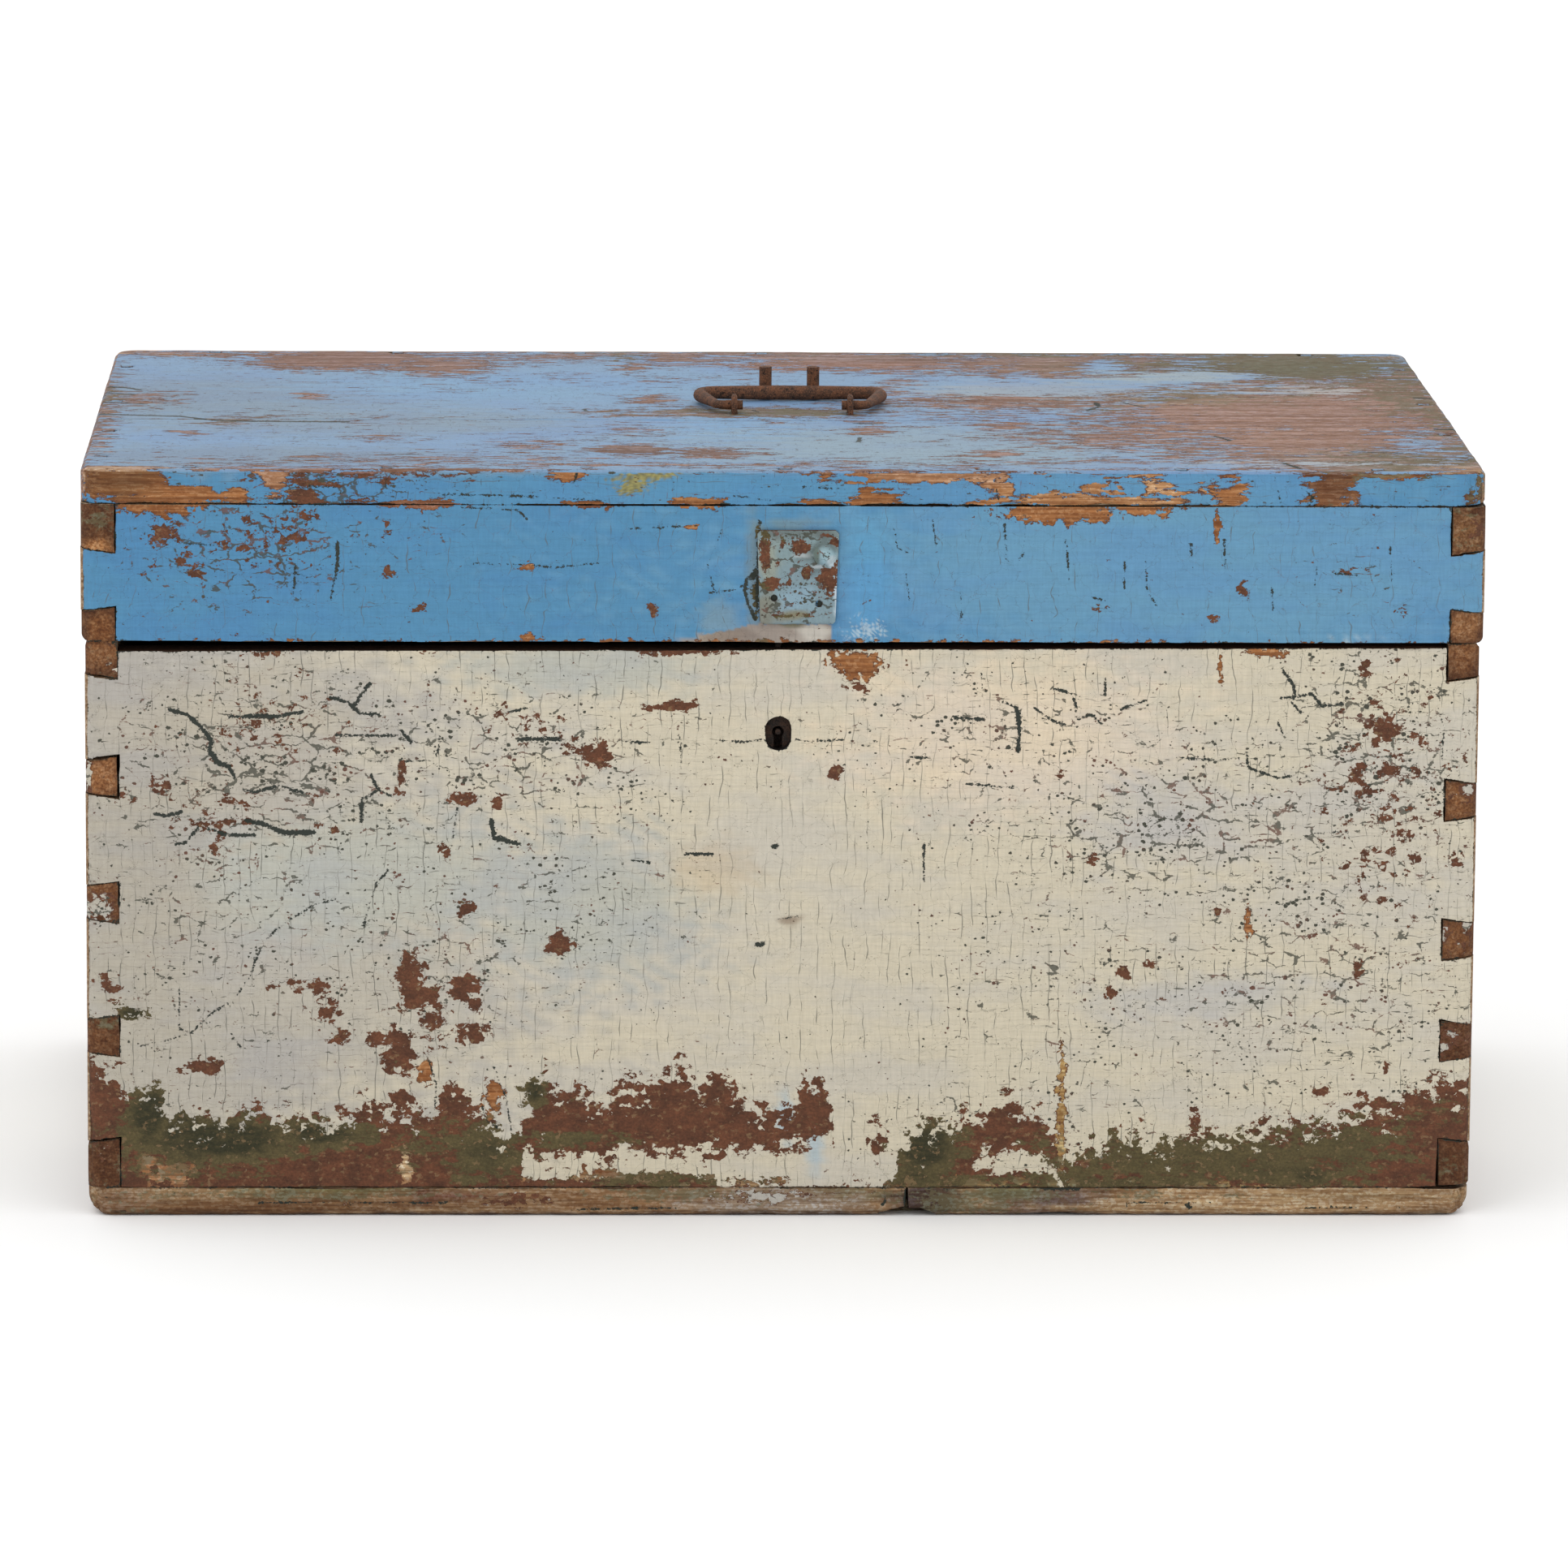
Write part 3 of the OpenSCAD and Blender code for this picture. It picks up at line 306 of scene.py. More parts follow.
    # Specks that have dropped out of the crazed topcoat, and a net of cracks between them.
    pits = f.cells(fine_place, speck, out="Distance")
    crowd = f.noise(f.place, (20.0, 20.0, 13.0), 4.0, 0.65)
    dense = f.part(craze, f.step(crowd, 0.5, 0.16))
    reach = f.times_plus(pits.node.outputs["Color"], 0.85, f.times_plus(dense, 0.50, -0.725))
    specks = f.step(f.less(reach, pits), 0.0, 0.05)
    fleck = f.noise(f.place, tuple(0.62 * part for part in speck), 3.0, 0.62)
    flecks = f.step(f.times_plus(dense, 0.085, f.times_plus(craze, 0.02, fleck)), 0.735, 0.012)
    specks = f.math("MAXIMUM", specks, flecks)
    net = f.cells(f.ragged(6.0, 7.0), (15.0, 15.0, 8.0), "DISTANCE_TO_EDGE", "Distance")
    torn = f.noise(f.place, (10.0, 10.0, 4.5), 4.0, 0.62)
    gate = f.step(f.times_plus(craze, 0.27, torn), 0.79, 0.07)
    net = f.step(f.less(f.part(gate, 0.062), net), 0.0, 0.014)
    sway = f.noise(f.place, (24.0, 24.0, 24.0), 2.0)

    def fine_cracks(along, apart, run, least, half=0.30):
        """Straight cracks of one direction: uneven columns, each broken into short runs."""
        across = f.vector("DOT_PRODUCT", {
            0: f.place, 1: tuple(0.0 if axis in along else 1.0 / apart for axis in range(3)),
        }, "Value")
        gap = f.put("ShaderNodeTexVoronoi", {
            "W": f.times_plus(sway, 1.3, across), "Scale": 1.0,
        }, "Distance", voronoi_dimensions="1D", feature="DISTANCE_TO_EDGE")
        runs = f.noise(f.place, tuple(run if axis in along else 2.6 for axis in range(3)), 2.0)
        width = f.part(f.step(runs, least, 0.09), half / apart)
        return f.step(f.less(width, gap), 0.0, 0.12 / apart)

    hairs = fine_cracks((way,), pitch, 16.0, 0.54)
    crosswise = (X, Y) if way == Z else (Y, Z)
    ticks = fine_cracks(crosswise, 1.3 * pitch, 7.0, 0.60)
    ticks = f.part(ticks, f.step(craze, 0.5, 0.4))
    dashes = fine_cracks(crosswise, 0.9 * pitch, 8.0, 0.66, 0.55)
    dashes = f.part(dashes, f.step(craze, 0.45, 0.3))

    # The long cracks that the board's own layer draws, with a line that wanders.
    wander = f.times_plus(f.noise(f.place, (1.5, 1.5, 1.3), 3.0, 0.7), 4.2, -2.1)
    wander = f.times_plus(f.noise(f.place, (7.0, 7.0, 7.0), 2.0), 3.0, f.math("ADD", wander, -1.35))
    cracks = f.less(1.0, f.step(f.math("ADD", f.layer("crack"), wander), 0.0, 0.2))

    # Topcoat: brush marks, grain that shows through, cool clouds, and the fine cracks and specks.
    coat = f.layer("coat", "Color")
    brushed = f.noise(f.place, (1.3, 1.3, 12.0), 4.0)
    coat = f.stained(f.step(brushed, 0.5, 0.3), coat, (0.90, 0.90, 0.90))
    coat = f.stained(f.step(fibre, 0.5, 0.2), coat, (0.91, 0.915, 0.925))
    coat = f.stained(f.step(mottle, 0.54, 0.1), coat, (0.955, 0.95, 0.94))
    cool = f.step(f.noise(f.place, (70.0, 70.0, 26.0), 3.0), 0.53, 0.13)
    coat = f.stained(f.part(cool, 0.8), coat, (0.90, 0.93, 1.03))
    faint = f.part(f.less(1.0, f.part(cool, 0.6)), hair_share)
    hairs = f.part(f.math("MAXIMUM", hairs, ticks), faint)
    coat = f.mix(hairs, coat, (0.085, 0.085, 0.07))
    spot = f.mix(f.step(more_blots, 0.56, 0.05), (0.045, 0.046, 0.032), (0.115, 0.050, 0.033))
    fine = f.math("MAXIMUM", net, dashes)
    coat = f.mix(f.math("MAXIMUM", specks, f.part(fine, 0.85)), coat, spot)

    paint = f.mix(lost_top, coat, under)
    paint = f.mix(lost_wood, paint, wood)
    paint = f.mix(cracks, paint, (0.020, 0.025, 0.019))
    roughness = f.math("ADD", 0.60, f.part(lost, 0.28))
    height = f.less(1.0, f.part(lost_top, 0.5))
    height = f.less(height, f.part(lost_wood, 0.3))
    height = f.less(height, f.part(f.math("MAXIMUM", cracks, specks), 0.6))
    height = f.math("ADD", height, f.part(fibre, 0.5))
    return f.close(paint, roughness, height, 0.5, 0.7)


def merged_copy(node):
    """A copy of one CAD node with its loose triangles joined."""
    work = bmesh.new()
    work.from_mesh(nodes[node].data)
    bmesh.ops.remove_doubles(work, verts=work.verts, dist=SAME_PLACE)
    return work


def cut_grid(work, faces, axes, cell):
    """Cuts the faces along planes that lie cell millimetres apart."""
    geometry = set(faces)
    for face in faces:
        geometry.update(face.verts)
        geometry.update(face.edges)
    geometry = list(geometry)
    for axis in axes:
        across = [part.co[axis] for part in geometry if isinstance(part, bmesh.types.BMVert)]
        low, high = min(across), max(across)
        normal = Vector((0, 0, 0))
        normal[axis] = 1
        step = cell * MM
        first = math.ceil((low + 0.1 * step) / step)
        last = math.floor((high - 0.1 * step) / step)
        for index in range(first, last + 1):
            geometry = bmesh.ops.bisect_plane(
                work, geom=geometry, dist=1e-6, plane_co=normal * index * step, plane_no=normal
            )["geom"]


def outer_faces(work, way):
    return [face for face in work.faces if face.normal.dot(Vector(way)) > 0.6]


class Board:
    """A copy of a CAD board, its outer sides cut fine, hollowed a little, its arrises blunted.

    Afterwards x, y and z hold its points' places, and joint their distance to the nearest
    joint with another board, all in millimetres."""

    def __init__(self, node, ways, cell=None, cracks=(), wear=1.0):
        self.node, self.body = node, nodes[node]["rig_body"]
        work = merged_copy(node)
        bmesh.ops.dissolve_limit(
            work, angle_limit=math.radians(0.5), verts=work.verts, edges=work.edges
        )
        work.normal_update()
        mark = work.faces.layers.int.new("outer")
        for way in ways:
            side = [axis for axis in (X, Y, Z) if not way[axis]]
            cut_grid(work, outer_faces(work, way), side, cell or CELL)
        for way in ways:
            for face in outer_faces(work, way):
                face[mark] = 1
        if cracks:
            self.refine(work, mark, cracks)
        work.normal_update()
        self.wear_down(work, mark, wear)
        self.mesh = bpy.data.meshes.new("worn_" + node)
        work.to_mesh(self.mesh)
        work.free()
        self.mesh.shade_smooth()
        self.mesh.set_sharp_from_angle(angle=SHARP_FROM)
        count = len(self.mesh.vertices)
        flat = np.empty(count * 3, np.float32)
        self.mesh.vertices.foreach_get("co", flat)
        self.x, self.y, self.z = (flat.reshape(-1, 3) * TO_MM).T
        self.joint = np.empty(count, np.float32)
        self.mesh.attributes["joint"].data.foreach_get("value", self.joint)
        self.corner_vert = np.empty(len(self.mesh.loops), np.int32)
        self.mesh.loops.foreach_get("vertex_index", self.corner_vert)
        spans = np.empty(len(self.mesh.polygons), np.int32)
        self.mesh.polygons.foreach_get("loop_total", spans)
        outer = np.empty(len(self.mesh.polygons), np.int32)
        self.mesh.attributes["outer"].data.foreach_get("value", outer)
        self.corner_outer = np.repeat(outer, spans) > 0

    def refine(self, work, mark, cracks):
        """Cuts the cells near a drawn crack finer, so that its line stays sharp."""
        long = [
            edge for edge in work.edges
            if edge.calc_length() > 0.6 * CELL * MM and any(face[mark] for face in edge.link_faces)
        ]
        half = TO_MM / 2
        middles = np.array([(edge.verts[0].co + edge.verts[1].co) * half for edge in long]).T
        near = [edge for edge, gap in zip(long, cracks(*middles)) if gap < 0.9 * CELL]
        bmesh.ops.subdivide_edges(work, edges=near, cuts=FINE_CUTS, use_grid_fill=True)

    def wear_down(self, work, mark, wear):
        """Measures each outer point's distance to the joints, and sinks it by its wear."""
        tips = []
        for edge in work.edges:
            if len(edge.link_faces) == 2 and edge.link_faces[0][mark] != edge.link_faces[1][mark]:
                start, end = (vert.co for vert in edge.verts)
                count = max(1, int((end - start).length / JOINT_STEP))
                tips.extend(start.lerp(end, share / count) for share in range(count + 1))
        tree = kdtree.KDTree(max(1, len(tips)))
        for index, tip in enumerate(tips):
            tree.insert(tip, index)
        tree.balance()
        joint = work.verts.layers.float.new("joint")
        moves = []
        for vert in work.verts:
            outer = any(face[mark] for face in vert.link_faces)
            near = tree.find(vert.co)[2] / MM if outer and tips else FAR_FROM_JOINT
            vert[joint] = min(near, FAR_FROM_JOINT)
            if outer and wear:
                place = vert.co
                blunt = max(0.0, 1.0 - max(abs(part) for part in vert.normal)) / FULL_ARRIS
                hollow = 0.22 + 0.30 * noise.noise(place * 14) + 0.12 * noise.noise(place * 55)
                nibble = 0.25 + 0.9 * noise.noise(place * 32) + 0.8 * noise.noise(place * 95)
                deep = wear * (max(0.0, hollow) + blunt * max(0.0, nibble) * 1.3)
                moves.append((vert, place - vert.normal * deep * MM))
        for vert, place in moves:
            vert.co = place

    def lay(self, name, outside, inside=0.0):
        """Stores one layer: its share or colour on the painted sides, and on the bare ones."""
        colour = np.ndim(inside) > 0
        values = np.asarray(outside, np.float32)
        if values.ndim == (1 if colour else 0):
            values = np.broadcast_to(values, (len(self.x),) + values.shape)
        inside = np.asarray(inside, np.float32)
        corner = np.where(
            self.corner_outer[:, None] if colour else self.corner_outer,
            values[self.corner_vert], inside[self.corner_vert] if inside.ndim == 2 else inside,
        )
        if colour:
            corner = np.concatenate([corner, np.ones((len(corner), 1))], 1)
        store = self.mesh.attributes.new(name, "FLOAT_COLOR" if colour else "FLOAT", "CORNER")
        store.data.foreach_set("color" if colour else "value", corner.astype(np.float32).ravel())

    def reshape(self, x, z):
        """Moves the points along the front, sideways and up or down."""
        flat = np.stack([x, self.y, z], 1) * MM
        self.mesh.vertices.foreach_set("co", flat.astype(np.float32).ravel())
        self.mesh.update()

    def place(self, material, slot):
        """Makes the object, in its finish, and lets it stand for the CAD board."""
        for extra in ("joint", "outer"):
            self.mesh.attributes.remove(self.mesh.attributes[extra])
        self.mesh.materials.clear()
        self.mesh.materials.append(material)
        piece = bpy.data.objects.new("worn_" + self.node, self.mesh)
        bpy.context.scene.collection.objects.link(piece)
        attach(piece, self.body)
        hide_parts(self.node)
        return piece


def wave(u, v):
    """A slow irregular wave from -1 to 1, so that no patch comes out round."""
    sideways = np.sin(0.31 * u + 1.9 * np.sin(0.17 * v))
    return sideways * np.sin(0.27 * v + 2.3 * np.sin(0.13 * u + 1.0))


def spots(u, v, patches):
    """Share of wear from named patches: middle, half sizes, share. It is one half at the rim."""
    share = np.zeros(len(u))
    uneven = 1 + 0.2 * wave(u, v)
    for middle_u, middle_v, half_u, half_v, amount in patches:
        away = np.hypot((u - middle_u) / half_u, (v - middle_v) / half_v) * uneven
        patch = amount * np.clip((1.85 - away) / 1.65, 0, 1)
        share = np.maximum(share, patch)
    return share


def tinted(u, v, ground, tints):
    """Colour that drifts from the ground to each tint about its own middle."""
    paint = np.broadcast_to(np.array(ground), (len(u), 3)).copy()
    uneven = 1 + 0.35 * wave(0.7 * u, 1.3 * v)
    for middle_u, middle_v, half_u, half_v, tint in tints:
        away = np.hypot((u - middle_u) / half_u, (v - middle_v) / half_v) * uneven
        share = np.clip(1.5 - away, 0, 1)[:, None]
        paint += (np.array(tint) - paint) * share * share * (3 - 2 * share)
    return paint


def edge_share(high, low, soft):
    """0 where high lies well below low, 1 well above it, softened over so many millimetres."""
    return np.clip(0.5 + (high - low) / soft, 0, 1)


def crack_map(u_axis, v_axis, strokes):
    """Distance to the nearest drawn crack, less its half width, as a function of the place."""
    runs = []
    for half, *points in strokes:
        for start, end in zip(points, points[1:]):
            runs.append((half, start, end))

    def distance(*place):
        u, v = place[u_axis], place[v_axis]
        near = np.full(len(u), NO_CRACK)
        for half, (u0, v0), (u1, v1) in runs:
            du, dv = u1 - u0, v1 - v0
            share = np.clip(((u - u0) * du + (v - v0) * dv) / (du * du + dv * dv), 0, 1)
            near = np.minimum(near, np.hypot(u - u0 - share * du, v - v0 - share * dv) - half)
        return near

    return distance


def joint_line(board, half=0.30):
    """Distance to the gap at the board's joints, whose half width varies along them."""
    return board.joint - half * (0.55 + 0.9 * wave(3.1 * (board.x + board.y), 2.7 * board.z))


box_front_cracks = crack_map(X, Z, [
    (1.43, (-350, 296), (-340, 293), (-334, 288), (-326, 278), (-327, 272.5), (-323, 265.5),
     (-316, 263), (-313, 257)), (1.17, (-316, 292), (-288, 292), (-274, 295)),
    (1.04, (-258, 303), (-248, 300), (-245.5, 297.5), (-236, 311)),
    (0.78, (-245.5, 297.5), (-241.5, 293.5), (-230.5, 293.5)),
    (0.91, (-255, 281), (-246, 281), (-220, 281)), (1.04, (-218, 284), (-212, 277)),
    (0.45, (-216, 266), (-199.5, 266.5), (-197, 271.5), (-196, 281)),
    (1.56, (-305.5, 231.5), (-297, 230), (-285, 224.5), (-267.5, 225)),
    (1.04, (-327.5, 227), (-316, 223), (-301.5, 223.5)),
    (0.91, (-358, 235.5), (-351.5, 234), (-343.5, 236.5)),
    (0.91, (-346, 218), (-341, 219), (-334, 227)),
    (0.78, (-308, 250), (-301.5, 248), (-287.5, 252), (-274, 248)),
    (0.91, (-235, 257.5), (-231, 249.5), (-240.5, 244), (-241, 231)),
    (0.78, (-231, 249.5), (-223, 246)),
    (0.65, (-225.5, 202.5), (-232, 195.5), (-236.5, 181.5), (-239.5, 170.5)),
    (1.43, (-166.5, 232), (-165, 222), (-150, 218)), (1.04, (-150, 279), (-128, 279)),
    (0.4, (-136, 273.5), (-136, 263)), (0.78, (-90, 278), (-76, 277)),
    (0.45, (-186, 239), (-188.5, 221)), (0.78, (-163, 293), (-146, 297)),
    (0.78, (-55, 212.5), (-40, 212.5)), (0.65, (-86, 208.5), (-76.5, 208)),
    (0.4, (-59, 281.5), (-58, 263)), (0.45, (-36, 278.5), (-25, 277.5), (-12.5, 279)),
    (0.45, (7, 279), (16, 278), (34.5, 279)),
    (0.3, (-250, 187.5), (-268, 182.5), (-281, 174.5), (-294, 164), (-301, 151), (-305, 140),
     (-314, 127), (-327, 119), (-338.5, 107.5), (-352.5, 103.5), (-370.5, 99.5)),
    (0.3, (-345, 135), (-345, 110), (-338.5, 107.5)),
    (0.3, (-315.5, 107.5), (-310, 99.5), (-304, 98), (-293.5, 103.5), (-291, 107.5)),
    (0.65, (153.5, 309), (164, 306), (167.5, 298)), (0.65, (192.5, 297), (206.5, 302)),
    (0.35, (179.5, 306), (183.5, 305), (183.5, 317)),
    (0.78, (284, 321), (291, 311), (292.5, 304.5), (290, 301.5), (295.5, 295)),
    (0.91, (284.5, 303.5), (292.5, 304.5), (301.5, 306), (308, 298.5), (319, 300.5)),
    (0.65, (283, 289), (285.5, 283.5)), (0.45, (225, 269), (247, 267.5), (260.5, 268.5)),
    (0.65, (265, 271.5), (266, 263.5), (283, 257), (292, 258.5), (297, 264)),
    (0.65, (105.5, 253.5), (131.5, 251.5)), (0.65, (73, 269), (83.5, 268.5)),
    (0.65, (81, 218.5), (81, 197)), (0.35, (112.5, 317), (114, 303.5)),
    (1.04, (98.5, 292), (114, 291)), (0.65, (123.5, 302), (132.5, 298)),
    (1.17, (133, 297.5), (135, 285), (134, 273)), (0.78, (143, 297.5), (155, 289.5), (161, 288)),
    (0.65, (168, 291), (176, 294), (182, 288)), (0.35, (303.5, 225), (324, 226)),
    (0.3, (374, 299), (378, 286), (377, 268)), (0.35, (-202.5, 93), (-198, 78), (-199, 61)),
    (0.4, (-165, 88), (-158, 70), (-155, 51)), (0.4, (-172, 66), (-169, 56), (-160, 50)),
    (1.43, (-4.5, 217), (-3.5, 217)), (1.69, (-14, 160.2), (-11.5, 159.8)),
    (0.3, (-3, 174.5), (9, 176)),
])
board = Board("front_board", [FRONT], cell=0.75 * CELL, cracks=box_front_cracks, wear=0.7)
x, y, z = board.x, board.y, board.z
lost_top_x = (
    -400, -373, -356, -351, -327, -306, -299, -288, -260, -252, -245, -224, -199, -191, -183,
    -173, -151, -147, -135, -127, -117, -104, -96, -78, -60, -48, -35, -19, -2, 11, 24, 29, 33,
    66, 76, 94, 101, 104, 112, 130, 138, 148, 153, 159, 164, 179, 195, 205, 226, 231, 247,
    257, 286, 309, 332, 355, 361, 371, 396,
)
lost_top_z = (
    85, 72, 70, 55, 54, 57, 60, 54, 52, 53, 59, 55, 57, 79, 67,
    55, 41, 55, 80, 62, 75, 58, 67, 72, 85, 70, 77, 59, 55, 67, 74, 62, 12,
    12, 46, 53, 43, 58, 54, 64, 57, 61, 49, 39, 31, 36, 44, 41, 39, 41, 45,
    41, 49, 49, 55, 57, 68, 73, 74,
)
lost_top = np.interp(x, lost_top_x, lost_top_z) + 4
kept_top = np.interp(
    x, (-151, -148, -125, -104, -97, -70, -19, -2, 31, 33, 105, 112, 135, 159, 165),
    (0, 38, 36, 33, 40, 35, 38, 41, 45, 0, 0, 36, 40, 30, 0),
)
foot_top = np.interp(
    x, (-152, -147, -104, -96, -40, -34, 64, 70, 103, 112, 158, 165),
    (0, 23, 23, 26, 25, 18, 17, 40, 40, 27, 25, 0),
)
band = np.minimum(edge_share(lost_top, z, 36), edge_share(z, kept_top, 24))
band = np.maximum(band, edge_share(foot_top, z, 9))
flaked = spots(x, z, [
    (-214, 141, 8, 11, 1), (-209, 128, 10, 8, 1), (-183, 134, 8, 7, 1), (-176, 125, 5, 4, 0.9),
    (-265, 134, 7, 6, 0.85), (-262, 119, 7, 6, 0.9), (-253, 107, 6, 6, 0.8), (-278, 136, 4, 5, 0.7),
    (-290, 135, 4, 3, 0.6), (-224, 104, 13, 7, 0.85), (-219, 93, 10, 8, 1),
    (-177, 107, 10, 6, 0.85), (-196, 112, 9, 11, 0.55), (-331, 88, 9, 4, 0.9),
    (-218, 67, 6, 7, 0.9), (-182, 180, 3.6, 3.6, 1), (-127, 157, 7, 4, 1), (-142, 72, 7, 9, 0.9),
    (-121, 70, 9, 5, 0.8), (-370, 119, 10, 4, 0.8), (-385, 135, 7, 8, 0.8), (57, 45, 4.5, 8, 1),
    (55, 55, 4, 4, 0.9), (196, 144, 4, 4, 0.95), (189, 132, 3, 4.5, 1), (213, 148, 5, 3, 0.8),
    (239, 57, 3.2, 6, 1), (331, 146, 3, 5, 0.9), (345, 66, 15, 3, 0.9), (348, 88, 3, 5, 0.8),
    (249, 179, 3.5, 2.5, 0.9), (309, 75, 7, 3, 0.7), (330, 72, 6, 3, 0.7), (-105, 270, 6, 6.5, 1),
    (-65, 298.5, 15, 3, 0.95), (-218, 256, 3, 12, 0.7), (-182, 245, 7, 3.5, 0.9),
    (-194, 213, 4, 5, 0.8), (-164, 243, 4, 3, 0.8), (-320, 243, 15, 9, 0.5), (-355, 251, 5, 6, 0.7),
    (-322, 216, 9, 7, 0.5), (-322, 231, 22, 7, 0.45), (-258, 227, 6, 3, 0.7),
    (-128, 160, 4.5, 6, 0.9), (-294, 329, 14, 2, 0.9), (-58, 330, 24, 2.6, 0.95),
    (-200, 329, 10, 1.6, 0.7), (42, 310, 8, 3, 0.8), (30, 260, 4, 3.4, 0.95),
    (345, 285, 8, 10, 0.75), (345, 262, 6, 6, 0.75), (330, 259, 5, 5, 0.75), (332, 323, 5, 4, 0.75),
    (309, 237, 7, 4, 0.6), (363, 209, 6, 6, 0.75), (387, 209, 5, 4, 0.8), (332, 201, 4, 3, 0.7),
    (178, 209, 5, 3, 0.75), (160, 260, 4, 3, 0.7), (-376, 246, 5, 4, 0.6), (-122, 276, 6, 5, 0.55),
    (-150, 288, 26, 12, 0.34), (-290, 290, 60, 30, 0.25), (350, 240, 40, 80, 0.3),
])
bared = spots(x, z, [
    (42, 322, 13, 7, 1.1), (275, 330, 11, 2.4, 1), (-204, 84, 4, 6.5, 1.1), (-165, 70, 5, 9, 1.1),
    (-215.5, 30, 3.2, 9.5, 1.1), (-218, 40, 6, 3, 0.6), (267.5, 169, 1.5, 12, 1),
    (248.5, 322, 1.5, 7, 1), (160.8, 84, 1.4, 22, 1), (161.5, 55, 2.4, 30, 1),
    (-362, 31, 6, 7, 0.7), (-105, 267, 2.5, 3, 0.7), (-240, 345, 400, 10, 0.3),
    (-352, 23, 14, 8, 0.75), (-100, 24, 40, 6, 0.5), (-20, 20, 40, 4, 0.6), (130, 19, 60, 4, 0.6),
    (250, 18, 80, 3, 0.5),
])
board.lay("primer", np.maximum(band, flaked))
board.lay("bare", bared, ALL_BARE)
board.lay("mould", spots(x, z, [
    (-362, 60, 11, 15, 1.8), (-324, 46, 42, 11, 1.9), (-264, 48, 26, 7, 1.6),
    (-338, 26, 44, 7, 0.62), (-200, 44, 26, 14, 0.62), (-168, 38, 22, 16, 1.2),
    (-142, 74, 7, 9, 1.5), (-117, 45, 30, 5, 0.9), (-60, 22, 60, 5, 0.8), (84, 40, 18, 16, 1.6),
    (80, 24, 22, 9, 1.2), (240, 36, 90, 16, 0.95), (320, 40, 40, 18, 0.9), (190, 20, 120, 6, 0.85),
    (-371, 120, 10, 6, 1.5), (-345, 58, 10, 12, 1.3), (280, 26, 60, 9, 1.0), (305, 24, 14, 6, 1.3),
    (370, 60, 30, 12, 0.42),
]))
board.lay("craze", np.clip(
    0.2 + spots(x, z, [
        (-290, 262, 90, 52, 1.0), (-150, 270, 90, 40, 0.85), (335, 270, 50, 60, 1.0),
        (235, 232, 110, 52, 0.86), (-190, 150, 60, 50, 0.7), (-130, 200, 80, 60, 0.55),
        (310, 150, 100, 84, 0.8), (140, 60, 70, 36, 0.6), (-30, 70, 90, 30, 0.35),
        (130, 282, 90, 36, 0.72), (170, 140, 80, 84, 0.55), (-290, 190, 130, 100, 0.6),
        (335, 170, 80, 110, 0.6),
    ]), 0, 1.3))
board.lay("crack", np.minimum(box_front_cracks(x, y, z), joint_line(board)), NO_CRACK)
board.lay("coat", tinted(x, z, CREAM, [
    (-330, 160, 180, 110, CREAM_GREY), (-330, 300, 120, 40, CREAM_GREY),
    (-250, 200, 110, 35, CREAM_COOL), (-340, 90, 80, 40, (0.44, 0.405, 0.34)),
    (-320, 270, 70, 40, (0.47, 0.42, 0.33)), (-370, 200, 40, 120, (0.43, 0.39, 0.315)),
    (-380, 300, 30, 40, (0.44, 0.40, 0.33)), (-110, 180, 60, 40, CREAM_COOL),
    (-110, 320, 70, 14, CREAM_COOL), (-5, 270, 30, 60, CREAM), (130, 280, 90, 40, CREAM_PEACH),
    (240, 230, 60, 25, (0.525, 0.485, 0.41)), (250, 130, 60, 12, (0.52, 0.485, 0.41)),
    (330, 230, 50, 40, (0.55, 0.50, 0.40)), (20, 45, 4, 22, (0.44, 0.50, 0.49)),
    (3, 60, 4, 14, (0.44, 0.50, 0.49)), (4, 174, 6, 2.4, (0.34, 0.27, 0.19)),
    (-40, 205, 20, 14, (0.56, 0.47, 0.33)),
]), INSIDE_PINE)
KEYHOLE_X, KEYHOLE_Z = -3.5, 282
# Painted shade on the unpainted faces: the keyhole's inner walls are almost black, standing for the
# dark hole, and the inner face and top edge above z 322 are dark, standing for the shade in the
# seam under the lid.
seam_shade = (z > 322)[:, None]
keyhole_shade = (np.hypot(x - KEYHOLE_X, z - KEYHOLE_Z) < 16)[:, None]
inside = np.where(keyhole_shade, np.array(DARK_PINE) * 0.06, np.array(INSIDE_PINE))
inside = np.where(seam_shade, np.array(DARK_PINE) * 0.4, inside)
board.lay("wood", tinted(x, z, FRESH_CHIP, [
    (-60, 20, 70, 8, (0.36, 0.24, 0.13)), (-350, 24, 20, 9, (0.40, 0.21, 0.10)),
    (190, 19, 120, 5, (0.36, 0.27, 0.12)), (-215, 30, 6, 12, (0.62, 0.46, 0.27)),
    (161, 60, 6, 60, (0.50, 0.33, 0.13)), (-105, 268, 8, 8, (0.25, 0.10, 0.05)),
]), inside)
CREAM_CHIP, CREAM_BLOT, CREAM_PITCH, CREAM_HAIRS = (5.2, 5.2, 4.2), (17, 17, 11), 7.0, 0.75
cream_coat = old_paint(
    "cream_coat", (60, 1.4, 1.4), CREAM_CHIP, CREAM_BLOT, Z, CREAM_PITCH, CREAM_HAIRS
)
board.place(cream_coat, "box_paint")


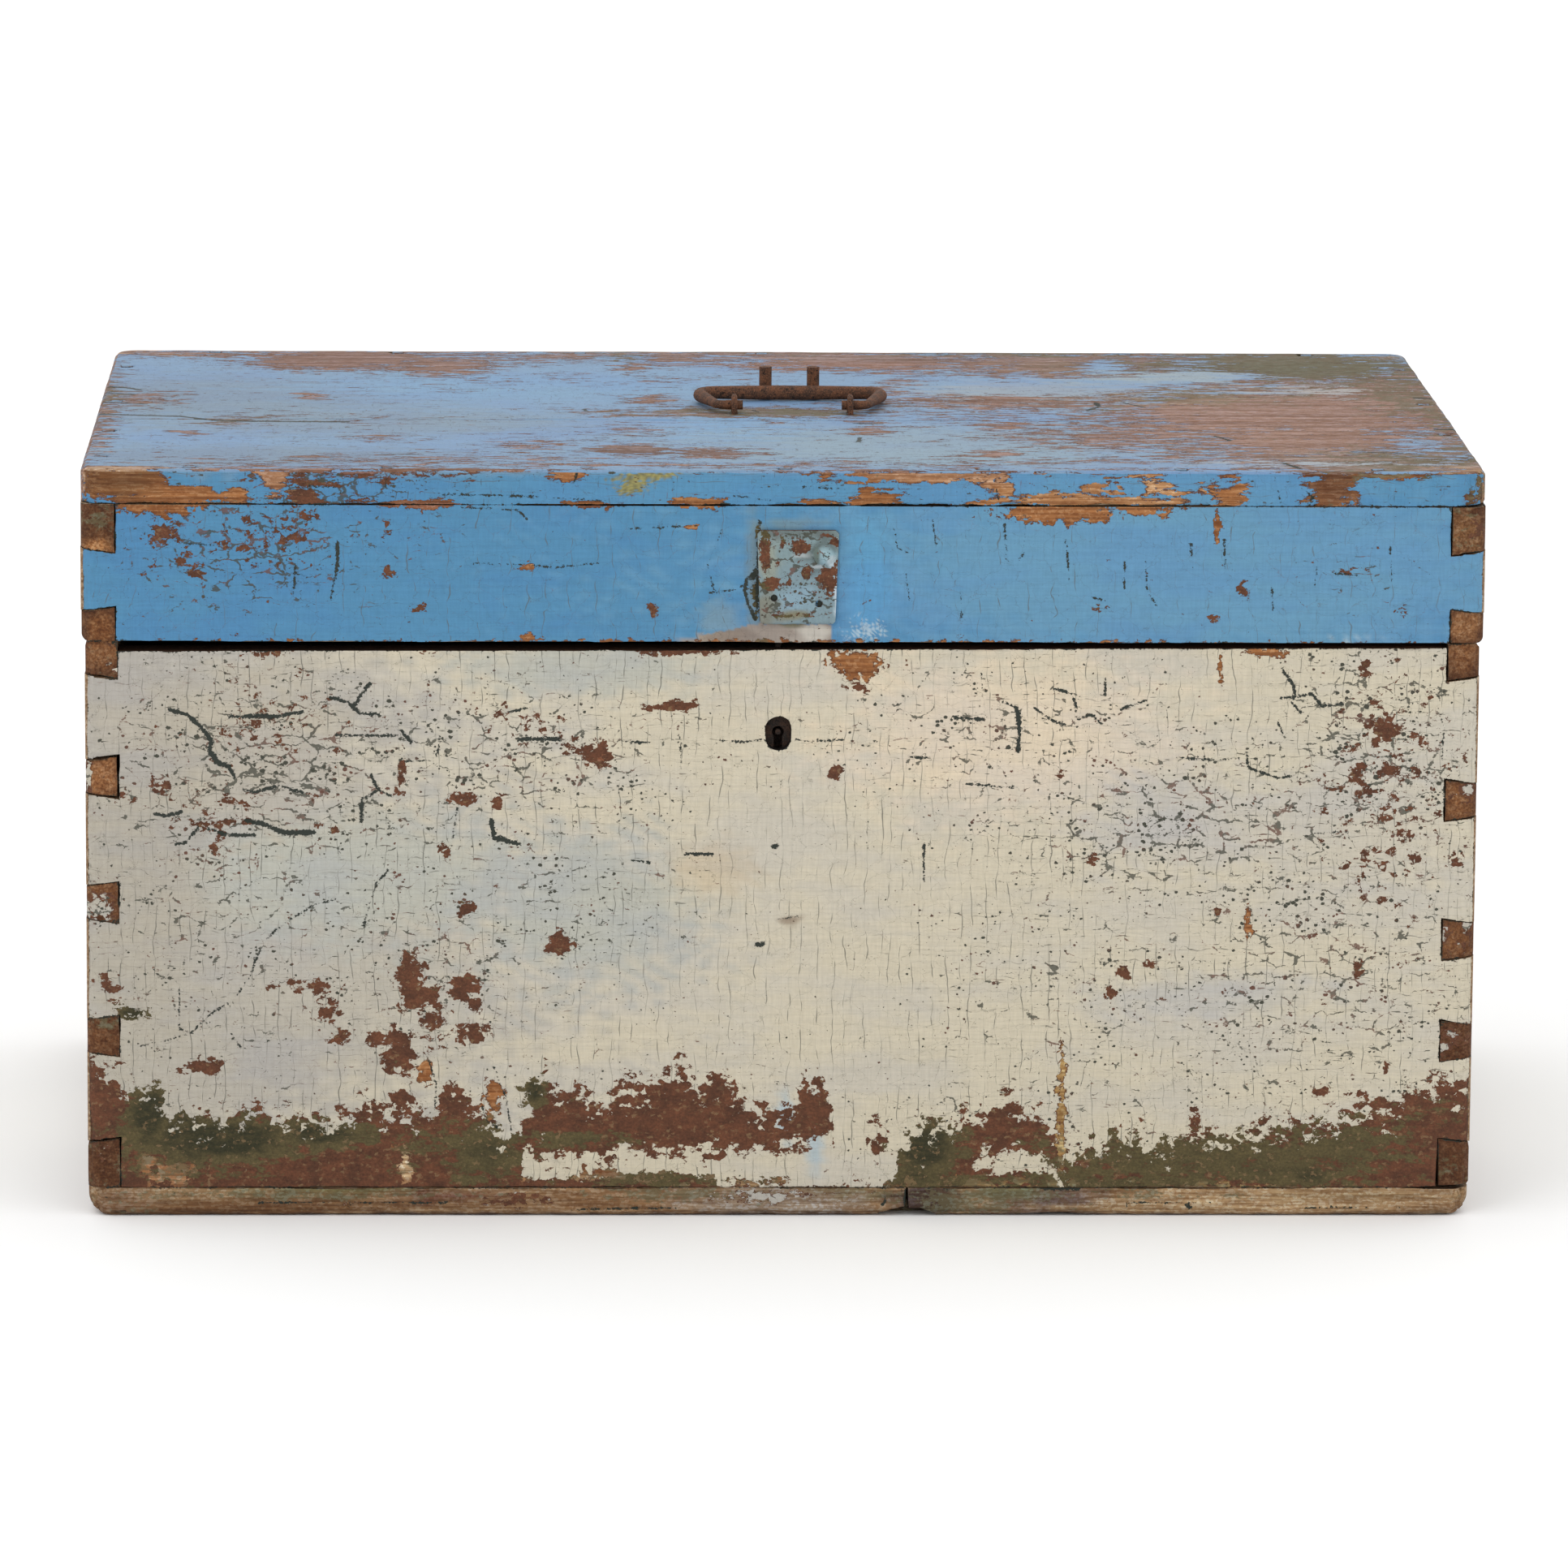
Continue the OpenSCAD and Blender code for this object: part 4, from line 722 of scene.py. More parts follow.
# Side boards and back board of the box: the same pine and paint. The pins' end grain shows at the
# corners of the front, where the paint has mostly gone. The boards hold by their dovetails alone.
BOX_WIDTH, BOX_DEPTH, BOX_HEIGHT = 796, 496, 330
PIN_FACE = 228.5
PIN_TAN = (0.34, 0.155, 0.060)
PIN_ORANGE = [
    (-388, 330, 10, 8, 0.7), (-388, 257, 9, 10, 1.2), (-388, 190, 10, 4, 0.7),
    (-376, 180, 3, 9, 0.6), (-390, 106, 10, 10, 0.25), (388, 330, 8, 8, 0.7),
    (386, 244, 8, 10, 0.7), (386, 160, 9, 12, 0.5),
]
LEFT_KEPT = [
    (-391, 181, 6.5, 6.5, 1.05), (-382, 320, 3, 2, 0.7), (-396, 300, 5, 10, 1.0),
    (-390, 40, 4, 6, 0.5), (-396, 258, 2, 9, 0.8),
]
RIGHT_KEPT = [
    (379, 166, 3, 3.4, 0.9), (391, 159, 2.6, 3.4, 0.9), (385, 108, 8, 4, 0.62),
    (392, 250, 4, 5, 0.8), (380, 100, 4, 3, 0.8), (393, 172, 3, 5, 0.9), (384, 258, 4, 2.4, 0.8),
    (378, 118, 3, 3, 0.8),
]


def weathered(width, height, foot, seed):
    """Invented wear for a side that the photograph doesn't show: chips, foot, crazing and damp."""
    pick = random.Random(seed).uniform

    def patches(count, low, high, *spans):
        across, up = (-width / 2, width / 2), (low, high)
        return [tuple(pick(*span) for span in (across, up, *spans)) for _ in range(count)]

    chips = patches(34, 20, height, (2, 9), (2, 8), (0.6, 0.95))
    chips += patches(9, foot, foot + 90, (8, 26), (5, 18), (0.6, 0.8))
    edge_u = [-width / 2 + width * index / 44 for index in range(45)]
    edge_v = [pick(foot - 14, foot + 14) + 12 * math.sin(0.02 * u + seed) for u in edge_u]
    crazed = patches(7, 90, height, (30, 90), (25, 60), (0.6, 1.1))
    damp = patches(14, 18, 60, (14, 60), (5, 16), (0.6, 1.5))
    return chips, edge_u, edge_v, crazed, damp


def box_side(node, ways, u_axis, seed, pins_kept=None):
    """One side of the box. With pins, its ends show on the front, with what paint they kept."""
    board = Board(node, ways)
    z = board.z
    along = (board.x, board.y)[u_axis]
    width = BOX_DEPTH if u_axis == Y else BOX_WIDTH
    chips, edge_u, edge_v, crazed, damp = weathered(width, BOX_HEIGHT, 46, seed)
    foot = edge_share(np.interp(along, edge_u, edge_v), z, 14)
    primer = np.maximum(foot, spots(along, z, chips))
    deepest = [(u, v, 0.5 * half_u, 0.5 * half_v, 0.7) for u, v, half_u, half_v, _ in chips[:6]]
    bare = spots(along, z, deepest)
    wood = np.broadcast_to(np.array(FRESH_CHIP), (len(along), 3)).copy()
    craze = 0.2 + spots(along, z, crazed)
    mould = spots(along, z, damp)
    line = joint_line(board)
    if pins_kept:
        front, back = board.y < -PIN_FACE, board.y > PIN_FACE
        kept = spots(board.x, z, pins_kept)
        bare = np.where(front, 0.86 - 0.9 * kept, np.where(back, 0.66, bare))
        primer = np.where(front, 1.0 - kept, np.where(back, 0.8, primer))
        wood[front | back] = DARK_PINE
        orange = np.minimum(spots(board.x, z, PIN_ORANGE), 1)[:, None]
        wood = np.where(front[:, None], wood + (np.array(PIN_TAN) - wood) * orange, wood)
        craze = np.where(front, 1.2, craze)
        line = np.where(front, line - 0.12, line)
        pin_mould = spots(board.x, z, [(0, 30, 450, 16, 0.5), (-388, 112, 9, 5, 0.7)])
        mould = np.where(front, pin_mould, mould)
    board.lay("primer", primer)
    board.lay("bare", bare, ALL_BARE)
    board.lay("mould", mould)
    board.lay("craze", craze)
    board.lay("crack", line, NO_CRACK)
    board.lay("coat", tinted(along, z, CREAM, [
        (-200, 160, 150, 90, CREAM_GREY), (180, 250, 120, 60, CREAM_COOL),
    ]), INSIDE_PINE)
    board.lay("wood", wood, INSIDE_PINE)
    return board


cream_coat_ends = old_paint(
    "cream_coat_ends", (1.4, 60, 1.4), CREAM_CHIP, CREAM_BLOT, Z, CREAM_PITCH, CREAM_HAIRS
)
left_board = box_side("left_side_board", [LEFT, FRONT, BACK], Y, 11, LEFT_KEPT)
left_board.place(cream_coat_ends, "box_paint")
right_board = box_side("right_side_board", [RIGHT, FRONT, BACK], Y, 12, RIGHT_KEPT)
right_board.place(cream_coat_ends, "box_paint")
box_side("back_board", [BACK], X, 13).place(cream_coat, "box_paint")

# Bottom: three pine boards nailed up into the box. Their edges show as a strip below the front,
# bare and greasy, with remains of paint, wormholes, a notch broken out and a hollow worn beside it.
FOOT_PINE = (0.325, 0.208, 0.110)
FOOT_ROUND = 12.0
FOOT_FLAT = BOX_WIDTH / 2 - FOOT_ROUND
ARRIS_REACH = 4.0
ARRIS_WEAR_KEPT = 0.3
# The widest stroke, from x 150 to 172, is painted shade that darkens the worn hollow beside the
# notch.
foot_cracks = crack_map(X, Z, [
    (0.9, (72, 16), (72, 5)), (0.5, (-300, 8), (-240, 7.5), (-190, 8)), (0.4, (200, 8), (280, 7)),
    (0.5, (60, 17), (62, 10), (57, 5)), (0.5, (96, 17), (98, 9)), (2.0, (150, 17.5), (172, 17)),
    (1.1, (-247, 5), (-246.5, 5)), (1.0, (200, 6), (200.5, 6)), (1.1, (236, 5), (236.5, 5)),
    (1.0, (317, 9), (317.5, 9)), (0.9, (-77, 7), (-76.6, 7)), (0.35, (-390, 11), (-340, 10.5)),
    (0.4, (-120, 4), (-60, 5)), (0.35, (300, 5), (380, 6)),
])


def round_arris(board):
    """Rounds the board's lower side arrises, and evens out the nicks that were worn into them."""
    past = np.clip(np.abs(board.x) - FOOT_FLAT, 0, None)
    below = np.clip(FOOT_ROUND - board.z, 0, None)
    reach = np.maximum(past, below)
    on_arris = np.minimum(past, below) > FOOT_ROUND - ARRIS_REACH
    evened = FOOT_ROUND - ARRIS_WEAR_KEPT * (FOOT_ROUND - reach)
    reach = np.where(on_arris, evened, reach)
    pull = reach / np.maximum(np.hypot(past, below), 1e-6)
    corner = (past > 0) & (below > 0)
    board.reshape(
        np.where(corner, np.sign(board.x) * (FOOT_FLAT + past * pull), board.x),
        np.where(corner, FOOT_ROUND - below * pull, board.z),
    )


def foot_board(node, ways):
    board = Board(node, ways, cracks=lambda x, y, z: np.where(
        (np.abs(x) > FOOT_FLAT - 2) & (z < FOOT_ROUND + 2), 0.0, NO_CRACK,
    ), wear=1.2)
    front = board.y < -240
    paint = np.where(front, spots(board.x, board.z, [
        (-150, 10, 26, 5, 0.8), (-12, 12, 38, 5, 0.9), (-230, 6, 60, 4, 0.45), (50, 10, 12, 6, 0.6),
    ]), 0.0)
    dirt = np.where(front, spots(board.x, board.z, [
        (-270, 13, 110, 3, 0.62), (110, 10, 45, 9, 0.7), (-60, 14, 50, 5, 0.7), (85, 8, 12, 9, 0.6),
        (200, 14, 60, 3, 0.6), (-380, 6, 16, 8, 0.5),
    ]), 0.35)
    # The dark tints at x 80 to 85 and at x 158 are painted shade in the broken notch and round the
    # worn hollow. The tint at z -1 makes the strip darker towards its bottom edge.
    shade = tinted(board.x, board.z, FOOT_PINE, [
        (-330, 4, 90, 8, (0.20, 0.105, 0.046)), (-330, 13, 70, 4, (0.33, 0.215, 0.11)),
        (270, 9, 120, 10, (0.43, 0.29, 0.155)), (158, 9, 30, 10, (0.17, 0.115, 0.09)),
        (-250, 15, 60, 2.4, (0.16, 0.14, 0.06)), (-190, 12, 30, 4, (0.16, 0.07, 0.04)),
        (30, 13, 40, 4, (0.20, 0.19, 0.09)), (130, 14, 24, 3, (0.19, 0.19, 0.10)),
        (220, 5, 60, 3, (0.50, 0.36, 0.20)), (330, 12, 50, 3, (0.36, 0.25, 0.13)),
        (-380, 9, 14, 8, (0.24, 0.14, 0.075)), (85, 8, 14, 12, (0.11, 0.07, 0.05)),
        (-100, 10, 40, 10, (0.30, 0.175, 0.085)), (0, 8, 50, 10, (0.33, 0.26, 0.19)),
        (0, -1, 420, 2.6, (0.10, 0.062, 0.04)), (80, 9, 16, 10, (0.075, 0.045, 0.035)),
    ])
    board.lay("primer", np.where(front, spots(board.x, board.z, [
        (-150, 10, 32, 7, 1.2), (-190, 12, 22, 5, 0.7),
    ]), 0.0))
    board.lay("bare", np.where(front, 1.3 - 1.15 * paint, 1.3), ALL_BARE)
    board.lay("mould", dirt)
    board.lay("craze", np.full(len(front), 0.9))
    drawn = foot_cracks(board.x, board.y, board.z)
    board.lay("crack", np.minimum(drawn, joint_line(board, 0.1)), NO_CRACK)
    board.lay("coat", CREAM_GREY, INSIDE_PINE)
    board.lay("wood", shade, INSIDE_PINE)
    round_arris(board)
    return board


foot_wood = old_paint("foot_wood", (34, 1.6, 1.6), (5.0, 4.4, 2.6), (18, 12, 6), X, 7.0, 0.4)
foot_board("bottom_front_board", [FRONT, LEFT, RIGHT, DOWN]).place(foot_wood, "bare_pine")
foot_board("bottom_middle_board", [LEFT, RIGHT, DOWN]).place(foot_wood, "bare_pine")
foot_board("bottom_rear_board", [BACK, LEFT, RIGHT, DOWN]).place(foot_wood, "bare_pine")

# Lid top: two boards butted side by side. Blue paint, faded by the sun on top and worn through
# along the grain, still strong on the front edge, where it has flaked off in lacy patches.
SKY_BLUE = (0.073, 0.232, 0.395)
FADED_BLUE = (0.178, 0.300, 0.455)
GREY_BLUE = (0.18, 0.262, 0.345)
PALE_BLUE = (0.225, 0.325, 0.405)
WORN_BROWN = (0.345, 0.215, 0.165)
WORN_GREY = (0.24, 0.205, 0.17)
TAN = (0.50, 0.33, 0.20)
SMEAR_YELLOW = (0.25, 0.21, 0.045)
LID_TOP, LID_FRONT, LID_END, LID_SEAM = 432.9, -246, 397.5, -50
lid_edge_cracks = crack_map(X, Z, [
    (0.3, (-194, 420.5), (-145, 419.5), (-101, 416.8)), (0.3, (-270, 425), (-240, 424)),
    (0.5, (280.5, 423.5), (281.7, 416.5)), (0.6, (296, 423.5), (300, 420), (298, 415)),
    (0.3, (120, 424), (122, 416)), (0.3, (10, 425), (34, 424)), (0.35, (-30, 420), (-8, 417)),
    (0.3, (-254, 430), (-252, 420)), (0.3, (-226, 432), (-227, 420)),
    (0.4, (-118, 434), (-120, 427)),
])
lid_top_cracks = crack_map(X, Y, [
    (2.3, (-402, -30), (-375, -34), (-350, -38), (-338, -48), (-325, -57), (-290, -60),
     (-252, -60)), (2.1, (-402, 86), (-386, 80), (-378, 72)), (1.6, (-402, 60), (-380, 52)),
    (1.3, (-402, 20), (-372, 12)), (1.3, (-402, -120), (-384, -124)), (2.3, (388, 52), (396, 50)),
    (2.3, (388, -79), (398, -80)), (1.6, (187, -4), (195, 12), (194, 30)),
    (1.3, (255, -110), (262, -128)), (1.6, (286, -215), (294, -236)), (1.8, (47, -60), (62, -62)),
    (1.6, (47, -118), (46, -135)), (1.3, (-12, -8), (-9, -14)), (1.3, (330, -170), (362, -176)),
    (1.2, (-230, -190), (-206, -191)), (1.0, (210, 30), (222, 8)), (1.3, (-112, -5), (-111, -13)),
])


def carved_lid(x, y, z):
    """Where the lid boards need fine cells: at every drawn crack, and under the yellow smear."""
    on_top = lid_top_cracks(x, y, z) + 0.06 * np.abs(z - 433)
    on_edge = np.where(np.abs(x + 82) < 22, 0.0, lid_edge_cracks(x, y, z))
    return np.minimum(on_top, np.where(y < -245, on_edge, NO_CRACK))


def slanted(x, z, middle, half, slope):
    """Nearness to the middle of a patch that slopes to one side, in half sizes."""
    over = x - middle[0]
    return 2.2 - np.hypot(over / half[0], (z - middle[1] - slope * over) / half[1])


def lid_board(node, ways, cell):
    board = Board(node, ways, cell=cell, cracks=carved_lid)
    x, y, z = board.x, board.y, board.z
    on_top = z > LID_TOP
    front = (y < LID_FRONT) & ~on_top
    end = np.abs(x) > LID_END
    drift = 0.7 * np.sin(0.35 * y) + 0.4 * np.sin(0.92 * y + 1.7)
    along, far = x + 8 * drift, x + 34 * drift
    # Under the bail, about x -8 and y -16, the top is darker: a patch laid bare to grey wood, with
    # the mould layer raised there.
    brown = spots(along, y, [
        (-260, 210, 54, 48, 1.1), (-196, 183, 36, 46, 0.85), (-130, 221, 44, 28, 0.58),
        (-340, 232, 60, 20, 0.66), (-82, 177, 8, 26, 0.85), (-50, 220, 32, 38, 0.72),
        (60, 206, 80, 52, 0.95), (190, 200, 80, 62, 0.95), (325, 186, 76, 84, 0.95),
        (140, 30, 74, 44, 0.72), (80, 100, 26, 50, 0.6), (300, -20, 110, 120, 1.0),
        (310, -120, 84, 84, 0.9), (235, -150, 44, 50, 0.58), (345, -205, 60, 44, 0.8),
        (370, 60, 40, 120, 0.9), (-72, 35, 15, 25, 0.75), (-85, -170, 24, 24, 0.85),
        (-40, -180, 24, 20, 0.85), (-145, -156, 28, 26, 0.58), (132, -73, 15, 18, 0.9),
        (122, -183, 14, 15, 0.85), (55, -92, 11, 19, 0.85), (55, -56, 10, 8, 0.85),
        (-227, -122, 27, 18, 0.55), (-342, -105, 9, 11, 0.85), (-275, 47, 8, 14, 0.85),
        (-320, -53, 17, 22, 0.65), (-8, -16, 92, 22, 0.85), (-85, -97, 30, 32, 0.42),
        (-60, -228, 330, 12, 0.5), (-396, 0, 8, 260, 0.75), (-376, 35, 24, 42, 0.6),
        (395, 0, 10, 260, 0.95), (0, 247, 400, 9, 0.8), (250, -238, 120, 9, 0.6),
        (-300, -236, 80, 10, 0.5), (-290, -30, 50, 18, 0.3), (-3, -58, 5, 7, 0.8),
        (-100, 226, 300, 24, 0.5), (315, -195, 90, 44, 0.8), (-200, -205, 170, 26, 0.42),
        (60, -215, 120, 22, 0.36), (120, -40, 90, 60, 0.34), (-40, 120, 320, 60, 0.26),
        (-250, -60, 150, 60, 0.24), (0, -100, 300, 60, 0.2), (190, -216, 100, 24, 0.56),
        (340, -228, 74, 22, 0.9), (395, -232, 20, 30, 1.0), (205, -110, 84, 64, 0.66),
        (150, 20, 110, 30, 0.66), (-60, 236, 120, 12, 0.7), (-388, 240, 20, 10, 0.9),
        (-60, 225, 260, 22, 0.6), (-250, 234, 150, 12, 0.62), (-375, -244, 36, 7, 0.95),
        (-280, -246, 60, 4, 0.7), (-200, -246, 80, 4, 0.7), (60, -246, 90, 4, 0.6),
    ])
    blue = spots(along, y, [
        (150, 93, 44, 21, 0.95), (228, 122, 26, 10, 0.85), (270, 145, 30, 12, 0.9),
        (207, 186, 13, 26, 0.85), (368, -134, 6, 24, 0.5), (305, 72, 46, 5, 0.6),
        (352, 82, 34, 6, 0.5), (315, -218, 40, 10, 0.42), (40, 120, 26, 24, 0.4),
        (-395, 120, 5, 60, 0.3), (225, -228, 60, 8, 0.4), (300, -70, 14, 10, 0.25),
    ])
    top_bare = np.clip(brown - 0.9 * blue, 0, 1.1)
    edge_bare = spots(x, z, [
        (-375, 428, 28, 9.5, 1.25), (-340, 420, 26, 5, 1.2), (-314, 419, 14, 5, 1.1),
        (-290, 431, 8.5, 8.5, 1.2), (-242, 434.5, 24, 3.4, 0.9), (-188, 435, 23, 3, 0.9),
        (-123, 434.5, 14, 4.5, 1.0), (-206, 414.5, 22, 2.2, 1.0), (-110, 415, 13, 2.4, 1.0),
        (-47, 415.5, 14, 3, 1.0), (76, 431.5, 42, 3.4, 1.0), (52, 418.5, 14, 5.5, 1.05),
        (122, 425.5, 9, 8, 0.9), (147, 419, 18, 4.0, 0.8), (174, 424, 11, 10, 0.8),
        (208, 426, 22, 9.0, 0.76), (249.5, 423, 11, 9, 0.85), (310.5, 424, 11, 10.5, 1.05),
        (340, 433, 22, 2.6, 1.0), (21, 415.5, 9, 1.8, 1.0), (107, 415.5, 9, 2, 1.0),
        (392, 420, 6, 8, 0.6), (0, 436, 400, 2.2, 0.66), (-290, 423, 18, 10, 0.35),
        (170, 417, 60, 3, 0.86), (190, 433, 60, 2.4, 0.6), (-20, 435, 60, 2, 0.8),
        (250, 416, 12, 3, 0.7), (-360, 417, 30, 3, 0.9),
    ])
    edge_blue = spots(x, z, [
        (-336, 432, 10, 4, 1.1), (-320, 428, 4, 8, 1.0), (-300, 424, 5, 5, 0.6),
        (199, 425, 5, 3.4, 1.0), (165, 430, 8, 3.4, 0.9), (139, 424, 6, 3, 0.8),
        (226, 430, 6, 4, 0.8), (249, 428, 4, 4, 0.5),
    ])
    edge_bare = np.clip(edge_bare - 0.9 * edge_blue, 0, 1.25)
    purple = spots(x, z, [
        (-274, 422, 10, 10, 0.72), (-227, 427, 4, 8, 0.6), (-242, 432, 26, 5, 0.6),
        (-188, 433, 24, 4.5, 0.6), (-250, 425, 60, 12, 0.33),
    ])
    bare = np.where(on_top, top_bare, np.where(front, edge_bare, 0.55))
    bare = np.where(end, 0.62, bare)
    wood = tinted(far, y, WORN_BROWN, [
        (-130, 221, 50, 40, (0.33, 0.24, 0.22)), (60, 206, 80, 60, (0.34, 0.20, 0.15)),
        (210, 200, 60, 60, (0.29, 0.20, 0.14)), (300, -40, 120, 110, (0.36, 0.22, 0.165)),
        (345, -190, 70, 60, (0.32, 0.25, 0.20)), (335, 200, 90, 70, (0.155, 0.135, 0.09)),
        (-30, 225, 330, 24, (0.33, 0.225, 0.19)), (0, -14, 80, 26, WORN_GREY),
        (-340, -45, 60, 40, WORN_GREY), (-265, 206, 60, 50, (0.29, 0.175, 0.135)),
        (-375, -246, 40, 8, TAN), (-398, 205, 12, 50, TAN), (396, 235, 14, 20, TAN),
        (392, -240, 26, 12, TAN), (240, 60, 50, 40, (0.30, 0.22, 0.14)),
        (290, -120, 70, 60, (0.38, 0.235, 0.175)), (-90, -171, 30, 20, (0.24, 0.16, 0.13)),
        (-33, -180, 30, 20, (0.26, 0.17, 0.14)),
    ])
    edge_wood = tinted(x, z, FRESH_CHIP, [
        (-380, 430, 30, 14, (0.21, 0.095, 0.035)), (-290, 431, 12, 12, (0.44, 0.24, 0.13)),
        (-240, 434, 40, 5, (0.23, 0.12, 0.09)), (-188, 434, 26, 5, (0.26, 0.13, 0.09)),
        (-206, 414, 26, 4, (0.25, 0.11, 0.06)), (310, 424, 14, 12, (0.20, 0.09, 0.04)),
        (390, 425, 16, 12, (0.14, 0.10, 0.05)), (208, 426, 30, 12, (0.54, 0.30, 0.14)),
        (150, 424, 34, 9, (0.48, 0.25, 0.11)), (90, 432, 50, 5, (0.50, 0.28, 0.15)),
    ])
    board.lay("primer", np.where(on_top, 0.16, np.where(front, purple, 0.3)))
    board.lay("bare", bare, ALL_BARE)
    board.lay("mould", np.where(on_top, spots(along, y, [
        (330, 200, 84, 70, 1.0), (262, 128, 34, 24, 0.62), (-85, 222, 12, 26, 1.0),
        (362, -206, 46, 36, 0.75), (395, 0, 9, 250, 0.75), (195, 2, 8, 14, 1.0),
        (240, 60, 44, 34, 0.5), (-395, 60, 8, 80, 0.6), (150, 240, 120, 12, 0.7),
        (340, 90, 60, 40, 0.55), (-8, -16, 92, 20, 0.62), (380, 60, 26, 120, 0.6),
        (-40, 246, 200, 6, 0.5),
    ]), spots(x, z, [(380, 427, 20, 6, 1.1), (342, 433, 20, 3, 0.7)])))
    edge_craze = 0.45 + 0.9 * spots(x, z, [(-255, 424, 45, 14, 1)])
    board.lay("craze", np.where(on_top, 0.45, np.where(front, edge_craze, 0.6)))
    line = joint_line(board, 0.25)
    tight = line + np.interp(x, (-330, -200, 400), (0.25, 1.2, 0.7))
    line = np.where(on_top & (np.abs(y - LID_SEAM) < 12), tight, line)
    drawn = np.where(front, lid_edge_cracks(x, y, z), NO_CRACK)
    line = np.minimum(line, np.where(on_top, lid_top_cracks(x, y, z), drawn))
    board.lay("crack", line, NO_CRACK)
    top_coat = tinted(far, y, FADED_BLUE, [
        (-330, 40, 120, 90, GREY_BLUE), (-250, -60, 120, 50, (0.19, 0.275, 0.36)),
        (-300, -200, 120, 40, GREY_BLUE), (-30, -100, 26, 60, (0.165, 0.33, 0.53)),
        (80, -160, 130, 80, PALE_BLUE), (160, 60, 70, 50, (0.27, 0.33, 0.38)),
        (350, 60, 60, 60, (0.36, 0.33, 0.31)), (-150, 90, 120, 60, (0.175, 0.32, 0.48)),
        (310, -215, 60, 20, (0.34, 0.37, 0.39)), (250, 140, 50, 24, (0.28, 0.35, 0.39)),
    ])
    edge_coat = tinted(x, z, SKY_BLUE, [
        (-100, 436, 330, 5, (0.17, 0.28, 0.385)), (180, 425, 180, 14, (0.10, 0.27, 0.43)),
        (-60, 424, 120, 10, (0.082, 0.25, 0.415)),
    ])
    smear = np.maximum(
        slanted(x, z, (-86, 425.2), (6.0, 2.6), 0.16),
        slanted(x, z, (-80, 430.8), (12.0, 1.6), 0.08),
    ) + 0.7 * wave(2.5 * x, 6 * z)
    smear = np.clip(1.6 * smear - 0.6, 0, 1)[:, None]
    uneven = (1 + 0.4 * wave(3 * x, 7 * z))[:, None]
    edge_coat += (np.array(SMEAR_YELLOW) * uneven - edge_coat) * smear * 0.9
    board.lay("coat", np.where(on_top[:, None], top_coat, edge_coat), INSIDE_PINE)
    board.lay("wood", np.where(on_top[:, None] | end[:, None], wood, edge_wood), INSIDE_PINE)
    return board


faded_coat = old_paint(
    "faded_coat", (70, 1.6, 1.4), (12, 2.4, 2.4), (52, 7, 7), X, 7.0, 0.5, (7.0, 3.0, 2.6)
)
lid_rear = lid_board("lid_top_rear_board", [UP, BACK, LEFT, RIGHT], CELL)
lid_rear.place(faded_coat, "lid_paint")
lid_front = lid_board("lid_top_front_board", [UP, FRONT, LEFT, RIGHT], 0.75 * CELL)
lid_front.place(faded_coat, "lid_paint")

# Rim of the lid: four boards dovetailed at the corners, painted the same blue and less faded.
# The pins' end grain shows at both ends of the front, with the paint gone from most of it.
REST_PATCHES = [
    (-372, 352, 9, 6, 0.8), (-331, 408, 16, 4, 0.8), (-256, 371, 5, 8, 0.7),
    (-204, 340, 22, 3, 0.8), (-150, 396, 60, 26, 0.36), (-118, 362, 5, 4, 0.8),
    (-61, 412, 24, 3, 0.9), (-20, 383, 7, 5, 0.75), (40, 350, 6, 9, 0.7), (92, 402, 12, 6, 0.7),
    (150, 374, 50, 24, 0.36), (187, 338, 14, 3, 0.9), (236, 391, 6, 5, 0.8), (281, 360, 8, 5, 0.7),
    (322, 410, 26, 4, 0.85), (368, 377, 6, 12, 0.7), (0, 336, 420, 2, 0.5),
]
RIM_FRONT, RIM_END = -240, 396
STRIP_X, STRIP_HALF, STRIP_TOP = 6, 52, 352
STRIP_BEIGE = (0.31, 0.255, 0.20)
PALE_FLECK = (0.42, 0.52, 0.56)
rim_cracks = crack_map(X, Z, [
    (0.3, (-177, 381), (-147.5, 380), (-132, 378.5), (-105, 381)),
    (0.35, (-183.5, 413), (-151.5, 411.5), (-146, 406)),
    (0.6, (-254, 393), (-254, 379), (-258, 360)), (0.5, (-278, 380), (-279, 361.5)),
    (0.4, (-277, 374), (-272, 373.5)), (0.35, (-88.5, 401), (-50, 402.5)),
    (0.35, (62, 401), (64, 390), (70, 387.5)), (0.3, (69, 375), (71, 360)),
    (0.35, (125, 404), (126, 384), (131, 380), (136, 387), (136.5, 403)),
    (0.4, (193.5, 383), (193.5, 367)), (0.4, (205.5, 383), (206.5, 366), (212, 357)),
    (0.5, (278, 367), (278.5, 353)), (0.35, (303, 381), (302, 367)),
    (0.3, (231, 393), (232.5, 378)), (0.35, (84, 407), (86, 392)), (0.3, (100, 370), (101, 350)),
    (0.3, (160, 395), (162, 372)), (0.3, (175, 362), (183, 360)), (0.4, (314, 376), (326, 375)),
    (0.3, (345, 392), (346, 372)), (0.3, (250, 395), (251, 378)),
    (0.7, (-14.2, 405), (-15, 390), (-15.2, 378)), (1.9, (-16.2, 376.5), (-17.6, 374)),
    (0.9, (-15.4, 375), (-15.6, 350)),
    (1.1, (-17, 375), (-21.7, 372), (-22.6, 366), (-20.7, 357.5), (-16.5, 349)),
    (0.6, (-22, 370), (-27, 366), (-44, 364)), (2.4, (-5.4, 361.5), (-5.2, 361.5)),
    (2.4, (20.4, 358), (20.6, 358)), (0.3, (-340, 392), (-324, 391), (-318, 400)),
    (0.3, (-36, 400), (-44, 380), (-40, 365)),
])


def carved_rim(x, y, z):
    """Where the front rim needs fine cells: at its cracks, and on the strip under the hasp leaf."""
    on_strip = (np.abs(x - STRIP_X) < STRIP_HALF) & (z < STRIP_TOP)
    return np.where(on_strip, 0.0, rim_cracks(x, y, z))


